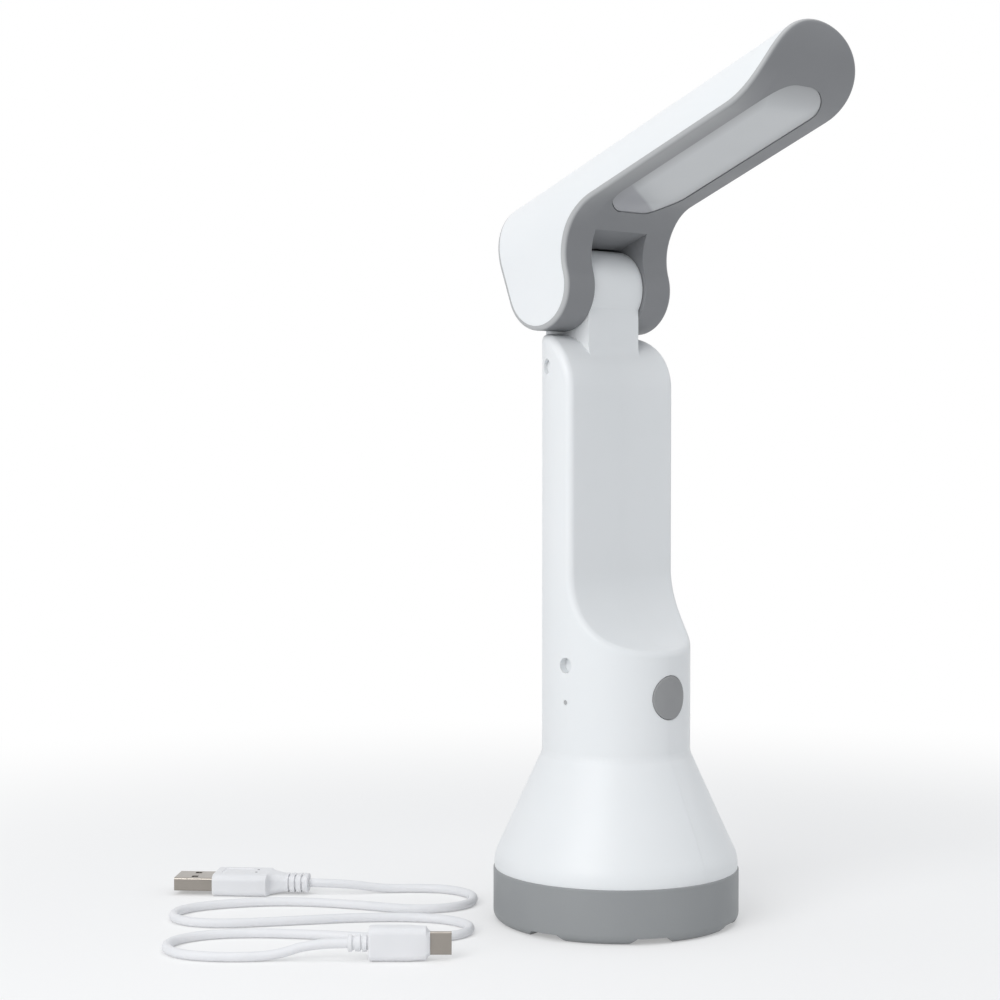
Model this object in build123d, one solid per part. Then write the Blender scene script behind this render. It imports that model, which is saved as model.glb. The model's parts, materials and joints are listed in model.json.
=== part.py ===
from build123d import *
import math
import os

# Rechargeable lantern: a torch standing on its bezel, with a folding lamp head on top.
# Millimetres, +Z up. The origin is the centre of the bezel's foot, the button faces -Y,
# and the hinge of the lamp head runs along X.

os.makedirs("parts", exist_ok=True)

# Barrel of the body, with a flat front that the lamp head folds onto
barrel_radius = 24.15
body_wall = 2.0
inner_radius = barrel_radius - body_wall
cone_top_z = 55.0
cone_blend = 5.0
ledge_z = 88.6
flat_y = -3.0
slope_radius = 25.0
shoulder_radius = 17.7
body_top_z = 190.5
body_edge_radius = 2.2

# Torch bezel and the cone above it
bezel_radius = 40.0
bezel_height = 17.2
bezel_foot_round = 3.0
bezel_top_round = 0.5
bezel_lip_height = 3.2
bezel_lip_width = 3.2
sleeve_step = 4.0
sleeve_wall = 1.8
sleeve_radius = bezel_radius - sleeve_step
bezel_bore_radius = sleeve_radius - sleeve_wall
sleeve_height = 4.8
sleeve_clearance = 0.2
tooth_count = 7
tooth_notch_angle = 17.5
tooth_notch_depth = 2.0
tooth_flank_angle = 50.0
tooth_lead_angle = -93.0
cone_foot_inset = 0.4
cone_rim_inset = 1.5
cone_rim_radius = bezel_radius - cone_rim_inset
cone_rim_height = 6.4
cone_rim_bulge = 0.5
thread_height = 5.3

# Torch optics, stacked upwards from the bezel's lip
optic_clearance = 0.2
seal_height = 1.0
seal_width = 2.2
lens_thickness = 2.5
reflector_wall = 1.3
reflector_flange = 1.5
reflector_rim_inset = 3.2
reflector_rim_radius = bezel_bore_radius - reflector_rim_inset
reflector_neck_radius = 5.5
reflector_depth = 31.0
led_board_radius = 10.0
led_board_thickness = 1.6
led_base = 5.0
led_base_height = 0.8
led_dome_radius = 2.1
heat_sink_radius = 16.0
heat_sink_height = 6.2
heat_sink_fin_count = 3
heat_sink_fin_gap = 1.0
heat_sink_core_radius = 12.0
shelf_thickness = 2.0
shelf_hole_radius = 11.0
torch_lead_x = 6.0

# Main board, with the switch, socket and indicator at its edge
board_z = 69.2
board_thickness = 1.6
board_edge_gap = 1.95
board_radius = inner_radius - board_edge_gap
board_front_gap = 2.5
board_bracket_width = 9.0
board_bracket_reach = 3.6
button_radius = 6.95
button_z = 74.2
button_hole_clearance = 0.2
button_proud = 0.35
button_edge_round = 0.3
button_flange_radius = 8.0
button_flange_thickness = 1.0
button_flange_gap = 2.45
button_flange_y = button_flange_gap - inner_radius
button_stem_radius = 2.0
button_stem_length = 1.9
button_travel = 0.6
switch_size = 6.0
switch_depth = 3.5
plunger_radius = 1.7
plunger_reach = 1.2
plunger_depth = 1.4
plunger_clearance = 0.1
plunger_front_y = button_flange_y + button_stem_length
switch_front_y = plunger_front_y + plunger_reach
socket_width = 7.5
socket_height = 2.6
socket_depth = 5.4
socket_wall = 0.3
socket_tongue_height = 0.6
port_clearance = 0.5
port_recess_width = 12.0
port_recess_height = 8.0
port_recess_depth = 1.0
indicator_y = -1.1
indicator_z = 72.6
pipe_radius = 0.65
pipe_clearance = 0.1
pipe_length = 4.3
indicator_length = 1.6
chip_size = (5.0, 6.0, 1.2)
chip_place = (-1.5, 1.0)
choke_radius = 3.0
choke_height = 3.2
choke_place = (8.0, -6.0)
header_size = (8.0, 4.5, 4.5)
header_place = (8.0, 6.25)
capacitor_radius = 2.0
capacitor_height = 5.0
capacitor_places = [(-12.0, 5.0), (-12.0, 10.0)]
resistor_size = (0.8, 1.6, 0.5)
resistor_start = (-8.6, -8.7)
resistor_pitch = 2.0
resistor_count = 4

# Screws that close the two body shells
screw_hole_radius = 2.5
screw_head_radius = 2.1
screw_head_height = 1.6
screw_shank_radius = 1.3
screw_slot_width = 0.6
screw_seat_depth = 12.15
screw_seat_x = barrel_radius - screw_seat_depth
screw_shank_length = 2 * screw_seat_x
screw_boss_radius = 3.4
screw_clearance = 0.05
lower_screw_y = -1.1
lower_screw_z = 84.4
upper_screw_y = 9.7
upper_screw_drop = 10.7
upper_screw_z = body_top_z - upper_screw_drop

# Battery and its cradle
cell_radius = 9.2
cell_length = 65.0
cell_cap_radius = 3.0
cell_cap_height = 0.8
cell_edge_radius = 0.6
cradle_wall = 1.5
cradle_clearance = 0.3
cradle_z = 88.6
contact_size = 8.0
contact_thickness = 0.4
lead_radius = 0.6

# Knuckle of the body and the hinge through it
hinge_y = 12.3
lobe_radius = 14.2
lobe_clearance = 0.8
knuckle_radius = 12.9
ear_width = 12.65
knuckle_half_width = barrel_radius - ear_width
stem_front = 11.0
stem_back = 8.8
stem_blend = 6.5
channel_half_width = 5.5
channel_half_depth = 6.0
pin_radius = 3.0
pin_bore_radius = 1.5
pin_clearance = 0.05
pin_head_radius = 5.0
pin_head_height = 1.5
pin_end_proud = 0.5
pin_window_half = 2.5
washer_radius = 6.5
washer_thickness = 0.6
spring_thickness = 0.5
spring_height = 0.9
nut_flats = 9.0
nut_height = 2.1
stack_gap = 0.08

# Lamp head, modelled folded down in front of the body and then opened
open_angle = 111.0
fold_gap = 1.0
ear_radius = 18.0
slot_side_clearance = 0.35
slot_clearance = 0.6
head_wall = 2.0
head_edge_radius = 1.4
lip = 1.5
rib_layer = 1.3
rib_clearance = 0.15
slot_wall = 2.0
diffuser_side = 9.45
diffuser_width = 2 * (barrel_radius - diffuser_side)
diffuser_bottom_z = 101.6
diffuser_top_z = 179.7
diffuser_corner = 12.0
diffuser_recess = 0.3
diffuser_clearance = 0.2
diffuser_flange = 1.2
flange_thickness = 1.0
light_box_wall = 0.8
lamp_board_side_gap = 2.7
lamp_board_width = diffuser_width - 2 * lamp_board_side_gap
lamp_board_thickness = 1.2
lamp_board_lift = 2.8
lamp_board_end_gap = 5.5
lamp_led_rows = 9
lamp_led_pitch = 7.0
lamp_led_x = 6.5
lamp_led_width = 3.5
lamp_led_length = 2.8
lamp_led_height = 0.8
head_boss_radius = 2.7
head_screw_radius = 1.0
head_screw_head_radius = 1.9
head_screw_head_height = 1.2
head_screw_length = 6.0
head_screw_end_gap = 1.0
head_screw_spread = 34.0

# Routes of the leads inside, as steps from the place that each name gives
lead_side = 13.5
upper_lead_from_contact = [(2.0, -4.0, 0.7), (lead_side, -4.0, 0.7), (lead_side, -4.6, -20.0)]
upper_lead_from_board = [(lead_side, -5.45, 21.8), (8.0, -4.65, 12.0), (8.0, -4.65, 4.5)]
lower_lead_from_contact = [(-2.0, -4.0, -1.1), (-2.5, -7.45, -1.1), (-8.0, -6.45, -9.1)]
lower_lead_from_board = [(-8.0, -5.95, 0.0)]
lamp_lead_from_board = [
    (-8.5, -0.85, 0.0), (-8.5, -0.85, 7.0), (-lead_side + 0.2, -2.35, 17.2), (-lead_side, -2.85, 39.2),
]
lamp_lead_from_hinge = [
    (-lead_side, -5.8, -55.5), (-9.0, -0.3, -37.5), (-2.5, 5.7, -27.5), (-0.5, 3.0, -15.5),
    (0.0, 0.0, -7.0), (0.0, 0.0, 0.0),
]
head_lead_from_pin = [(0.3, 0.0, 0.0), (2.2, 0.0, 0.0), (1.5, -10.3, -4.5)]
head_lead_from_lamp_board = [(-7.65, 7.8, 17.8), (-14.65, 1.6, 9.8), (-15.15, 0.6, 6.0), (-15.15, 0.6, 0.0)]

# Charging cable, laid on the floor to the left of the lantern as the camera sees it.
# Its plan is in its own frame: a to the right, b towards the viewer.
view_angle = 44.1
cable_corner_right = -150.0
cable_corner_away = 34.6
cable_radius = 1.5
cable_points = [
    (45.5, 2.3, 3.8), (58.0, 2.9, 3.8), (71.0, 0.4, 1.5), (83.0, -1.0, 1.5), (94.5, 0.7, 1.5),
    (102.6, 9.4, 1.5), (102.6, 22.4, 1.5), (94.2, 30.2, 1.5), (81.8, 32.2, 1.5), (62.0, 24.7, 1.5),
    (39.0, 20.5, 1.5), (18.0, 26.0, 1.5), (6.6, 34.1, 1.5), (5.4, 45.5, 1.5), (13.0, 53.0, 1.5),
    (25.3, 54.3, 1.5), (46.0, 49.4, 1.5), (67.0, 44.2, 1.5), (83.8, 43.2, 1.5), (96.1, 46.4, 1.5),
    (103.3, 54.2, 1.5), (103.3, 64.0, 1.5), (95.5, 71.1, 1.5), (81.8, 73.4, 1.5), (60.0, 69.0, 1.5),
    (37.0, 66.2, 1.5), (21.1, 69.2, 1.5), (12.0, 77.0, 1.5), (11.0, 87.3, 1.5), (17.9, 95.5, 1.5),
    (31.0, 98.1, 1.5), (46.0, 96.3, 1.5), (57.0, 94.9, 5.2), (68.2, 94.5, 5.2),
]
run_share = 0.45

# Plugs at the two ends of the cable
usb_shell_width = 12.0
usb_shell_height = 4.5
usb_shell_length = 13.4
usb_shell_wall = 0.4
usb_window = 2.2
usb_window_offset = 3.1
usb_housing_width = 16.0
usb_housing_height = 7.6
usb_housing_length = 18.8
usb_taper_length = 5.4
usb_relief_width = 8.0
usb_relief_height = 6.0
usb_relief_length = 8.2
usb_corner_radius = 2.4
relief_groove_count = 3
relief_groove_width = 0.7
relief_groove_depth = 0.6
micro_shell_width = 6.9
micro_shell_height = 1.9
micro_shell_length = 6.4
micro_shell_wall = 0.25
micro_housing_width = 10.4
micro_housing_height = 7.0
micro_housing_length = 18.5
micro_corner_radius = 2.2
micro_end_round = 1.2
micro_relief_radius = 2.7
micro_relief_length = 6.2
shell_root = 4.0
insert_setback = 1.0
tongue_clearance = 0.05

# Places that follow from the sizes above
slope_centre_y = flat_y - slope_radius
slope_centre_z = ledge_z + slope_radius
shoulder_centre_y = flat_y + shoulder_radius
shoulder_centre_z = body_top_z - shoulder_radius
hinge_z = body_top_z + lobe_clearance + lobe_radius
head_flat_y = flat_y - fold_gap
tip_radius = slope_radius - fold_gap
ear_centre_y = head_flat_y + ear_radius
ear_reach_y = ear_centre_y - hinge_y
ear_centre_z = hinge_z - math.sqrt((ear_radius + lobe_radius) ** 2 - ear_reach_y ** 2)
tangent_angle = math.degrees(math.atan2(ear_centre_z - hinge_z, ear_reach_y))
slot_half_width = knuckle_half_width + slot_side_clearance
slot_wall_end = slot_half_width + slot_wall + stack_gap
nut_start = slot_wall_end + washer_thickness + spring_height
pin_end_x = nut_start + nut_height + pin_end_proud
hinge_axis = Axis((0, hinge_y, hinge_z), (1, 0, 0))

seal_z = bezel_lip_height
lens_z = seal_z + seal_height
reflector_z = lens_z + lens_thickness
neck_z = reflector_z + reflector_flange + reflector_depth
led_board_top_z = neck_z + led_board_thickness
shelf_z = led_board_top_z + heat_sink_height
board_top_z = board_z + board_thickness
cradle_radius = cell_radius + cradle_clearance + cradle_wall
cell_y = inner_radius - cradle_clearance - cradle_radius
cell_z = cradle_z + cradle_wall + contact_thickness
cradle_height = cell_length + 2 * (cradle_wall + contact_thickness)
contact_top_z = cell_z + cell_length
diffuser_mid_z = (diffuser_bottom_z + diffuser_top_z) / 2
diffuser_length = diffuser_top_z - diffuser_bottom_z
lamp_board_length = diffuser_length - 2 * lamp_board_end_gap
lamp_trough_y = -math.sqrt((barrel_radius - head_wall) ** 2 - (lamp_board_width / 2) ** 2)
lamp_board_y = lamp_trough_y + lamp_board_lift
beyond = 3 * barrel_radius


def sector(centre, radius, start, end):
    """Arc about centre from one angle to the other, in degrees."""
    return CenterArc(centre, radius, start, end - start)


def slab(edges, half_width):
    """Solid with its outline in the YZ plane, equal on both sides of x = 0."""
    return extrude(Plane.YZ * make_face(edges), half_width, both=True)


def rod(start, direction, radius, length):
    """Cylinder from a point along a direction."""
    return extrude(Plane(start, z_dir=direction) * Circle(radius), length)


def tube(start, direction, outer, inner, length):
    """Cylinder with a through bore."""
    return rod(start, direction, outer, length) - rod(start, direction, inner, length)


def block(low, high):
    """Box between two opposite corners."""
    size = [abs(b - a) for a, b in zip(low, high)]
    middle = [(a + b) / 2 for a, b in zip(low, high)]
    return Pos(*middle) * Box(*size)


def wire_route(points, radius):
    """Round tube of straight runs and tangent arcs, and the arcs' radii."""
    corners = [Vector(p) for p in points]
    radii = []
    for before, corner, after in zip(corners, corners[1:], corners[2:]):
        turn = (corner - before).get_angle(after - corner)
        run = min((corner - before).length, (after - corner).length)
        radii.append(run_share * run / math.tan(math.radians(turn / 2)))
    path = FilletPolyline(*corners, radius=radii)
    start = Plane(path @ 0, z_dir=path % 0)
    return sweep(start * Circle(radius), path), radii, path.length


def steps_from(place, steps):
    """Points of a route, each a step from one place."""
    return [Vector(*place) + Vector(*step) for step in steps]


# Body

def body_outline(inset):
    """Side view of the barrel: ledge, slope, flat front and shoulder, moved inwards by inset."""
    slope = slope_radius + inset
    shoulder = shoulder_radius - inset
    top = body_top_z - inset
    low = cone_top_z - cone_blend
    slope_centre = (slope_centre_y, slope_centre_z)
    shoulder_centre = (shoulder_centre_y, shoulder_centre_z)
    return [
        Line((slope_centre_y, low), (slope_centre_y, slope_centre_z - slope)),
        sector(slope_centre, slope, -90, 0),
        Line((flat_y + inset, slope_centre_z), (flat_y + inset, shoulder_centre_z)),
        sector(shoulder_centre, shoulder, 90, 180),
        Polyline((shoulder_centre_y, top), (beyond, top), (beyond, low), (slope_centre_y, low)),
    ]


def barrel(inset):
    """Round barrel cut to the side view."""
    low = cone_top_z - cone_blend
    round_bar = rod((0, 0, low), (0, 0, 1), barrel_radius - inset, body_top_z - low)
    return round_bar & slab(body_outline(inset), beyond)


def on_barrel(edge):
    """Whether an edge of the barrel lies on its round side, above the cone."""
    places = [edge @ share for share in (0, 0.5, 1)]
    high = all(p.Z > cone_top_z + cone_blend for p in places)
    return high and all(abs(math.hypot(p.X, p.Y) - barrel_radius) < 0.001 for p in places)


def cone(inset):
    """Cone from the bezel's seam to the barrel, with a bulged rim."""
    lean = math.hypot(cone_rim_radius - barrel_radius, cone_top_z - bezel_height - cone_rim_height)
    sideways = inset * lean / (cone_top_z - bezel_height - cone_rim_height)
    seam = (bezel_radius - cone_foot_inset - sideways, bezel_height)
    rim = (cone_rim_radius - sideways, bezel_height + cone_rim_height)
    bulge = ((seam[0] + rim[0]) / 2 + cone_rim_bulge, (seam[1] + rim[1]) / 2)
    top = (barrel_radius - inset, cone_top_z)
    edges = [
        ThreePointArc(seam, bulge, rim),
        Polyline(rim, top, (0, cone_top_z), (0, bezel_height), seam),
    ]
    return revolve(Plane.XZ * make_face(edges), Axis.Z)


def knuckle():
    """Neck that carries the hinge, as thick as the slot of the lamp head allows."""
    disc = rod((-knuckle_half_width, hinge_y, hinge_z), (1, 0, 0), knuckle_radius, 2 * knuckle_half_width)
    stem = block(
        (-knuckle_half_width, hinge_y - stem_front, shoulder_centre_z),
        (knuckle_half_width, hinge_y + stem_back, hinge_z),
    )
    return disc + stem


def stem_foot(edge):
    """Whether an edge is where the front of the neck rises out of the shoulder."""
    middle = edge @ 0.5
    return shoulder_centre_z < middle.Z < body_top_z and abs(middle.X) < 0.1 and middle.Y < hinge_y


def screw_line(y, z):
    """Boss, holes and seat of one screw that closes the body, along X."""
    reach = math.sqrt(inner_radius ** 2 - y ** 2) + body_wall / 2
    boss = rod((-reach, y, z), (1, 0, 0), screw_boss_radius, 2 * reach)
    hole = rod((-barrel_radius - 1, y, z), (1, 0, 0), screw_hole_radius, barrel_radius + 1 - screw_seat_x)
    shank = screw_shank_radius + screw_clearance
    bore = rod((-screw_seat_x, y, z), (1, 0, 0), shank, screw_shank_length + 1)
    return boss, hole + bore


def body():
    """Both body shells in one piece."""
    bar = barrel(0)
    bar = fillet(bar.edges().filter_by(on_barrel), body_edge_radius)
    neck = fillet((bar + knuckle()).edges().filter_by(stem_foot), stem_blend)
    outer = neck + cone(0)
    seam = outer.edges().filter_by(GeomType.CIRCLE).filter_by(
        lambda e: abs((e @ 0.5).Z - cone_top_z) < 0.01 and abs(e.radius - barrel_radius) < 0.01
    )
    outer = fillet(seam, cone_blend)
    hollow = barrel(body_wall) + cone(body_wall)
    shelf = tube((0, 0, shelf_z), (0, 0, 1), cone_rim_radius, shelf_hole_radius, shelf_thickness)
    hollow -= shelf
    thread_bore = sleeve_radius + sleeve_clearance
    thread = tube((0, 0, bezel_height), (0, 0, 1), bezel_radius, thread_bore, thread_height)
    hollow -= thread
    for side in (-1, 1):
        hollow -= block(
            (side * (inner_radius + 1), -board_bracket_width / 2, board_z - shelf_thickness),
            (side * (inner_radius - board_bracket_reach), board_bracket_width / 2, board_z),
        )
    foot = block(
        (-contact_size, inner_radius - 2 * body_wall, cradle_z - cradle_clearance - shelf_thickness),
        (contact_size, inner_radius + 1, cradle_z - cradle_clearance),
    )
    hollow -= foot
    cuts = []
    for y, z in ((lower_screw_y, lower_screw_z), (upper_screw_y, upper_screw_z)):
        boss, holes = screw_line(y, z)
        hollow -= boss
        cuts.append(holes)
    shell = outer - hollow
    channel = block(
        (-channel_half_width, hinge_y - channel_half_depth, body_top_z - 2 * body_wall),
        (channel_half_width, hinge_y + channel_half_depth, hinge_z + channel_half_depth),
    )
    bore = rod((-beyond, hinge_y, hinge_z), (1, 0, 0), pin_radius + pin_clearance, 2 * beyond)
    button_hole = rod(
        (0, -barrel_radius - 1, button_z), (0, 1, 0), button_radius + button_hole_clearance, body_wall * 3
    )
    port_z = board_top_z + socket_height / 2
    port = block(
        (-socket_width / 2 - port_clearance, inner_radius - 1, port_z - socket_height / 2 - port_clearance),
        (socket_width / 2 + port_clearance, barrel_radius + 1, port_z + socket_height / 2 + port_clearance),
    )
    recess = block(
        (-port_recess_width / 2, barrel_radius - port_recess_depth, port_z - port_recess_height / 2),
        (port_recess_width / 2, barrel_radius + 1, port_z + port_recess_height / 2),
    )
    pipe_hole = rod(
        (-barrel_radius - 1, indicator_y, indicator_z), (1, 0, 0), pipe_radius + pipe_clearance, body_wall * 2
    )
    for cut in cuts + [channel, bore, button_hole, port, recess, pipe_hole]:
        shell -= cut
    return shell


# Torch

def torch_bezel():
    """Crenellated ring that the torch stands on, with the sleeve that screws into the cone."""
    lip_radius = bezel_bore_radius - bezel_lip_width
    top = bezel_height + sleeve_height
    outline = make_face(Polyline(
        (lip_radius, 0), (bezel_radius, 0), (bezel_radius, bezel_height), (sleeve_radius, bezel_height),
        (sleeve_radius, top), (bezel_bore_radius, top), (bezel_bore_radius, bezel_lip_height),
        (lip_radius, bezel_lip_height), (lip_radius, 0),
    ))
    foot = outline.vertices().filter_by(lambda v: v.X > bezel_radius - 0.01 and v.Y < 0.01)
    outline = fillet(foot, bezel_foot_round)
    rim = outline.vertices().filter_by(lambda v: v.X > bezel_radius - 0.01 and v.Y > bezel_height - 0.01)
    ring = revolve(Plane.XZ * fillet(rim, bezel_top_round), Axis.Z)
    half = bezel_radius * math.sin(math.radians(tooth_notch_angle / 2))
    flank = tooth_notch_depth * math.tan(math.radians(tooth_flank_angle))
    notch_face = make_face(Polyline(
        (-half - flank / 2, -0.01), (half + flank / 2, -0.01), (half - flank / 2, tooth_notch_depth),
        (flank / 2 - half, tooth_notch_depth), (-half - flank / 2, -0.01),
    ))
    notch = extrude(Plane.XZ * notch_face, 2 * bezel_radius)
    for index in range(tooth_count):
        turn = tooth_lead_angle + 90 + (index + 0.5) * 360 / tooth_count
        ring -= Rot(0, 0, turn) * notch
    return ring


def lens_seal():
    """Soft ring between the bezel's lip and the lens."""
    outer = bezel_bore_radius - optic_clearance
    return tube((0, 0, seal_z), (0, 0, 1), outer, outer - seal_width, seal_height)


def torch_lens():
    """Clear disc."""
    return rod((0, 0, lens_z), (0, 0, 1), bezel_bore_radius - optic_clearance, lens_thickness)


def reflector_curve(grow):
    """Parabola from the rim to the neck, moved outwards by grow."""
    rim = (reflector_rim_radius + grow, reflector_z + reflector_flange)
    neck = (reflector_neck_radius + grow, neck_z)
    double_focus = (rim[0] ** 2 - neck[0] ** 2) / (2 * reflector_depth)
    middle = (rim[0] + neck[0]) / 2
    lift = rim[0] / double_focus * (rim[0] - middle)
    return rim, neck, Bezier(rim, (middle, rim[1] + lift), neck)


def torch_reflector():
    """Bowl with a flange that presses on the lens."""
    rim, neck, inside = reflector_curve(0)
    outer_rim, outer_neck, outside = reflector_curve(reflector_wall)
    edge = bezel_bore_radius - optic_clearance
    edges = [
        inside,
        Line(neck, outer_neck),
        outside,
        Polyline(outer_rim, (edge, outer_rim[1]), (edge, reflector_z), (rim[0], reflector_z), rim),
    ]
    return revolve(Plane.XZ * make_face(edges), Axis.Z)


def torch_led():
    """Light source that hangs into the neck of the reflector."""
    base = Pos(0, 0, neck_z - led_base_height / 2) * Box(led_base, led_base, led_base_height)
    dome = Pos(0, 0, neck_z - led_base_height) * Sphere(led_dome_radius)
    dome -= rod((0, 0, neck_z - led_base_height), (0, 0, 1), 2 * led_dome_radius, 2 * led_dome_radius)
    return base + dome


def torch_led_board():
    """Round board under the heat sink."""
    return rod((0, 0, neck_z), (0, 0, 1), led_board_radius, led_board_thickness)


def torch_heat_sink():
    """Finned disc between the LED board and the shelf of the body."""
    sink = rod((0, 0, led_board_top_z), (0, 0, 1), heat_sink_radius, heat_sink_height)
    step = heat_sink_height / (heat_sink_fin_count + 1)
    for index in range(heat_sink_fin_count):
        z = led_board_top_z + (index + 1) * step - heat_sink_fin_gap / 2
        sink -= tube((0, 0, z), (0, 0, 1), heat_sink_radius + 1, heat_sink_core_radius, heat_sink_fin_gap)
    for side in (-1, 1):
        sink -= rod((side * torch_lead_x, 0, led_board_top_z), (0, 0, 1), 2 * lead_radius, heat_sink_height)
    return sink


def torch_leads():
    """Pair of leads from the main board down to the LED board."""
    length = board_z - led_board_top_z
    feet = [(side * torch_lead_x, 0, led_board_top_z) for side in (-1, 1)]
    return [rod(foot, (0, 0, 1), lead_radius, length) for foot in feet]


# Electronics

def main_board():
    """Round board that carries the switch, socket and indicator at its edge."""
    board = rod((0, 0, board_z), (0, 0, 1), board_radius, board_thickness)
    front = block((-beyond, -beyond, board_z), (beyond, button_flange_y + board_front_gap, board_top_z))
    return board - front


def board_components():
    """Charging chip, choke, capacitors and connector on top of the board."""
    boxes = [(chip_place, chip_size), (header_place, header_size)]
    for index in range(resistor_count):
        boxes.append(((resistor_start[0] + index * resistor_pitch, resistor_start[1]), resistor_size))
    rods = [(choke_place, choke_radius, choke_height)]
    rods += [(place, capacitor_radius, capacitor_height) for place in capacitor_places]
    parts = [Pos(x, y, board_top_z + size[2] / 2) * Box(*size) for (x, y), size in boxes]
    parts += [rod((x, y, board_top_z), (0, 0, 1), radius, height) for (x, y), radius, height in rods]
    return parts


def tact_switch():
    """Housing of the switch, with the well that its plunger moves in."""
    z = board_top_z
    half = switch_size / 2
    housing = block((-half, switch_front_y, z), (half, switch_front_y + switch_depth, z + switch_size))
    well = rod(
        (0, switch_front_y, button_z), (0, 1, 0), plunger_radius + plunger_clearance,
        plunger_depth + button_travel + plunger_clearance,
    )
    return housing - well


def switch_plunger():
    """Plunger of the switch, pushed in by the button."""
    return rod((0, plunger_front_y, button_z), (0, 1, 0), plunger_radius, plunger_reach + plunger_depth)


def button_cap():
    """Round cap that follows the barrel, with a flange behind the wall and a stem to the plunger."""
    front = -barrel_radius - button_proud
    back = (0, button_flange_y, button_z)
    cap = rod((0, front, button_z), (0, 1, 0), button_radius, button_flange_y - front)
    cap &= rod((0, 0, button_z - button_radius), (0, 0, 1), -front, 2 * button_radius)
    rim = cap.edges().filter_by(lambda e: (e @ 0.5).Y < button_flange_y - 0.1).sort_by(SortBy.LENGTH)[-1]
    cap = fillet(rim, button_edge_round)
    flange = rod(back, (0, 1, 0), button_flange_radius, button_flange_thickness)
    stem = rod(back, (0, 1, 0), button_stem_radius, button_stem_length)
    return cap + flange + stem


def usb_socket():
    """Micro socket at the back edge of the board: a folded shell with its tongue."""
    back = inner_radius
    z = board_top_z
    half = socket_width / 2
    shell = block((-half, back - socket_depth, z), (half, back, z + socket_height))
    inside = block(
        (-half + socket_wall, back - socket_depth + socket_wall, z + socket_wall),
        (half - socket_wall, back + 1, z + socket_height - socket_wall),
    )
    middle = z + socket_height / 2
    tongue = block(
        (-half / 2, back - socket_depth, middle - socket_tongue_height / 2),
        (half / 2, back - socket_wall, middle + socket_tongue_height / 2),
    )
    return shell - inside + tongue


def indicator_led():
    """Charge indicator at the left edge of the board."""
    start = -barrel_radius + pipe_length
    low = (start, indicator_y - pipe_radius, board_top_z)
    return block(low, (start + indicator_length, indicator_y + pipe_radius, indicator_z + pipe_radius))


def light_pipe():
    """Clear rod from the indicator to the outside."""
    start = -math.sqrt(barrel_radius ** 2 - indicator_y ** 2)
    return rod((start, indicator_y, indicator_z), (1, 0, 0), pipe_radius, pipe_length - barrel_radius - start)


# Battery

def battery_cradle():
    """Half round tray behind the cell, closed at both ends."""
    outer = rod((0, cell_y, cradle_z), (0, 0, 1), cradle_radius, cradle_height)
    room = rod(
        (0, cell_y, cradle_z + cradle_wall), (0, 0, 1), cell_radius + cradle_clearance,
        cradle_height - 2 * cradle_wall,
    )
    front = block((-beyond, -beyond, cradle_z), (beyond, cell_y, cradle_z + cradle_height))
    return outer - room - front


def battery_cell():
    """Round lithium cell with its raised positive end."""
    can = rod((0, cell_y, cell_z), (0, 0, 1), cell_radius, cell_length - cell_cap_height)
    can = fillet(can.edges(), cell_edge_radius)
    return can + rod((0, cell_y, cell_z), (0, 0, 1), cell_cap_radius, cell_length)


def battery_contacts():
    """Flat contact under each end of the cell."""
    half = contact_size / 2
    plates = []
    for z in (cell_z - contact_thickness, contact_top_z):
        plates.append(block((-half, cell_y - half, z), (half, cell_y + half, z + contact_thickness)))
    return plates


def battery_leads():
    """Leads from the two contacts to the board."""
    top = (0, cell_y, contact_top_z + contact_thickness)
    bottom = (0, cell_y, cell_z - contact_thickness)
    foot = (0, cell_y, board_top_z)
    upper = steps_from(top, upper_lead_from_contact) + steps_from(foot, upper_lead_from_board)
    lower = steps_from(bottom, lower_lead_from_contact) + steps_from(foot, lower_lead_from_board)
    return [wire_route(route, lead_radius)[0] for route in (upper, lower)]


# Hinge

def hinge_pin():
    """Hollow pin with a head on the left and a window for the leads in the middle."""
    left = -slot_wall_end - pin_head_height
    pin = rod((left, hinge_y, hinge_z), (1, 0, 0), pin_radius, pin_end_x - left)
    head = rod((left, hinge_y, hinge_z), (1, 0, 0), pin_head_radius, pin_head_height)
    bore = rod((-pin_window_half, hinge_y, hinge_z), (1, 0, 0), pin_bore_radius, beyond)
    window = block(
        (-pin_window_half, hinge_y - pin_bore_radius, hinge_z - beyond),
        (pin_window_half, hinge_y + pin_bore_radius, hinge_z),
    )
    return pin + head - bore - window


def hinge_washer():
    """Flat washer that rubs on the ear of the lamp head."""
    start = (slot_wall_end, hinge_y, hinge_z)
    return tube(start, (1, 0, 0), washer_radius, pin_radius + pin_clearance, washer_thickness)


def hinge_spring():
    """Conical spring washer that keeps the hinge stiff."""
    inner = pin_radius + pin_clearance
    rise = spring_height - spring_thickness
    face = make_face(Polyline(
        (inner, rise), (washer_radius, 0), (washer_radius, spring_thickness), (inner, spring_height),
        (inner, rise),
    ))
    cone_washer = revolve(Plane.XZ * face, Axis.Z)
    return Pos(slot_wall_end + washer_thickness, hinge_y, hinge_z) * Rot(0, 90, 0) * cone_washer


def hinge_nut():
    """Nut that sets the stiffness of the hinge."""
    start = (nut_start, hinge_y, hinge_z)
    hexagon = RegularPolygon(nut_flats / 2, 6, major_radius=False)
    nut = extrude(Plane(start, z_dir=(1, 0, 0)) * hexagon, nut_height)
    return nut - rod(start, (1, 0, 0), pin_radius + pin_clearance, nut_height)


def lamp_lead_lower():
    """Lead of the lamp from the board up through the neck and out along the pin."""
    route = steps_from((0, cell_y, board_top_z), lamp_lead_from_board)
    route += steps_from((0, hinge_y, hinge_z), lamp_lead_from_hinge)
    return wire_route(route + [(pin_end_x, hinge_y, hinge_z)], lead_radius)[0]


# Lamp head, folded down

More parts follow.
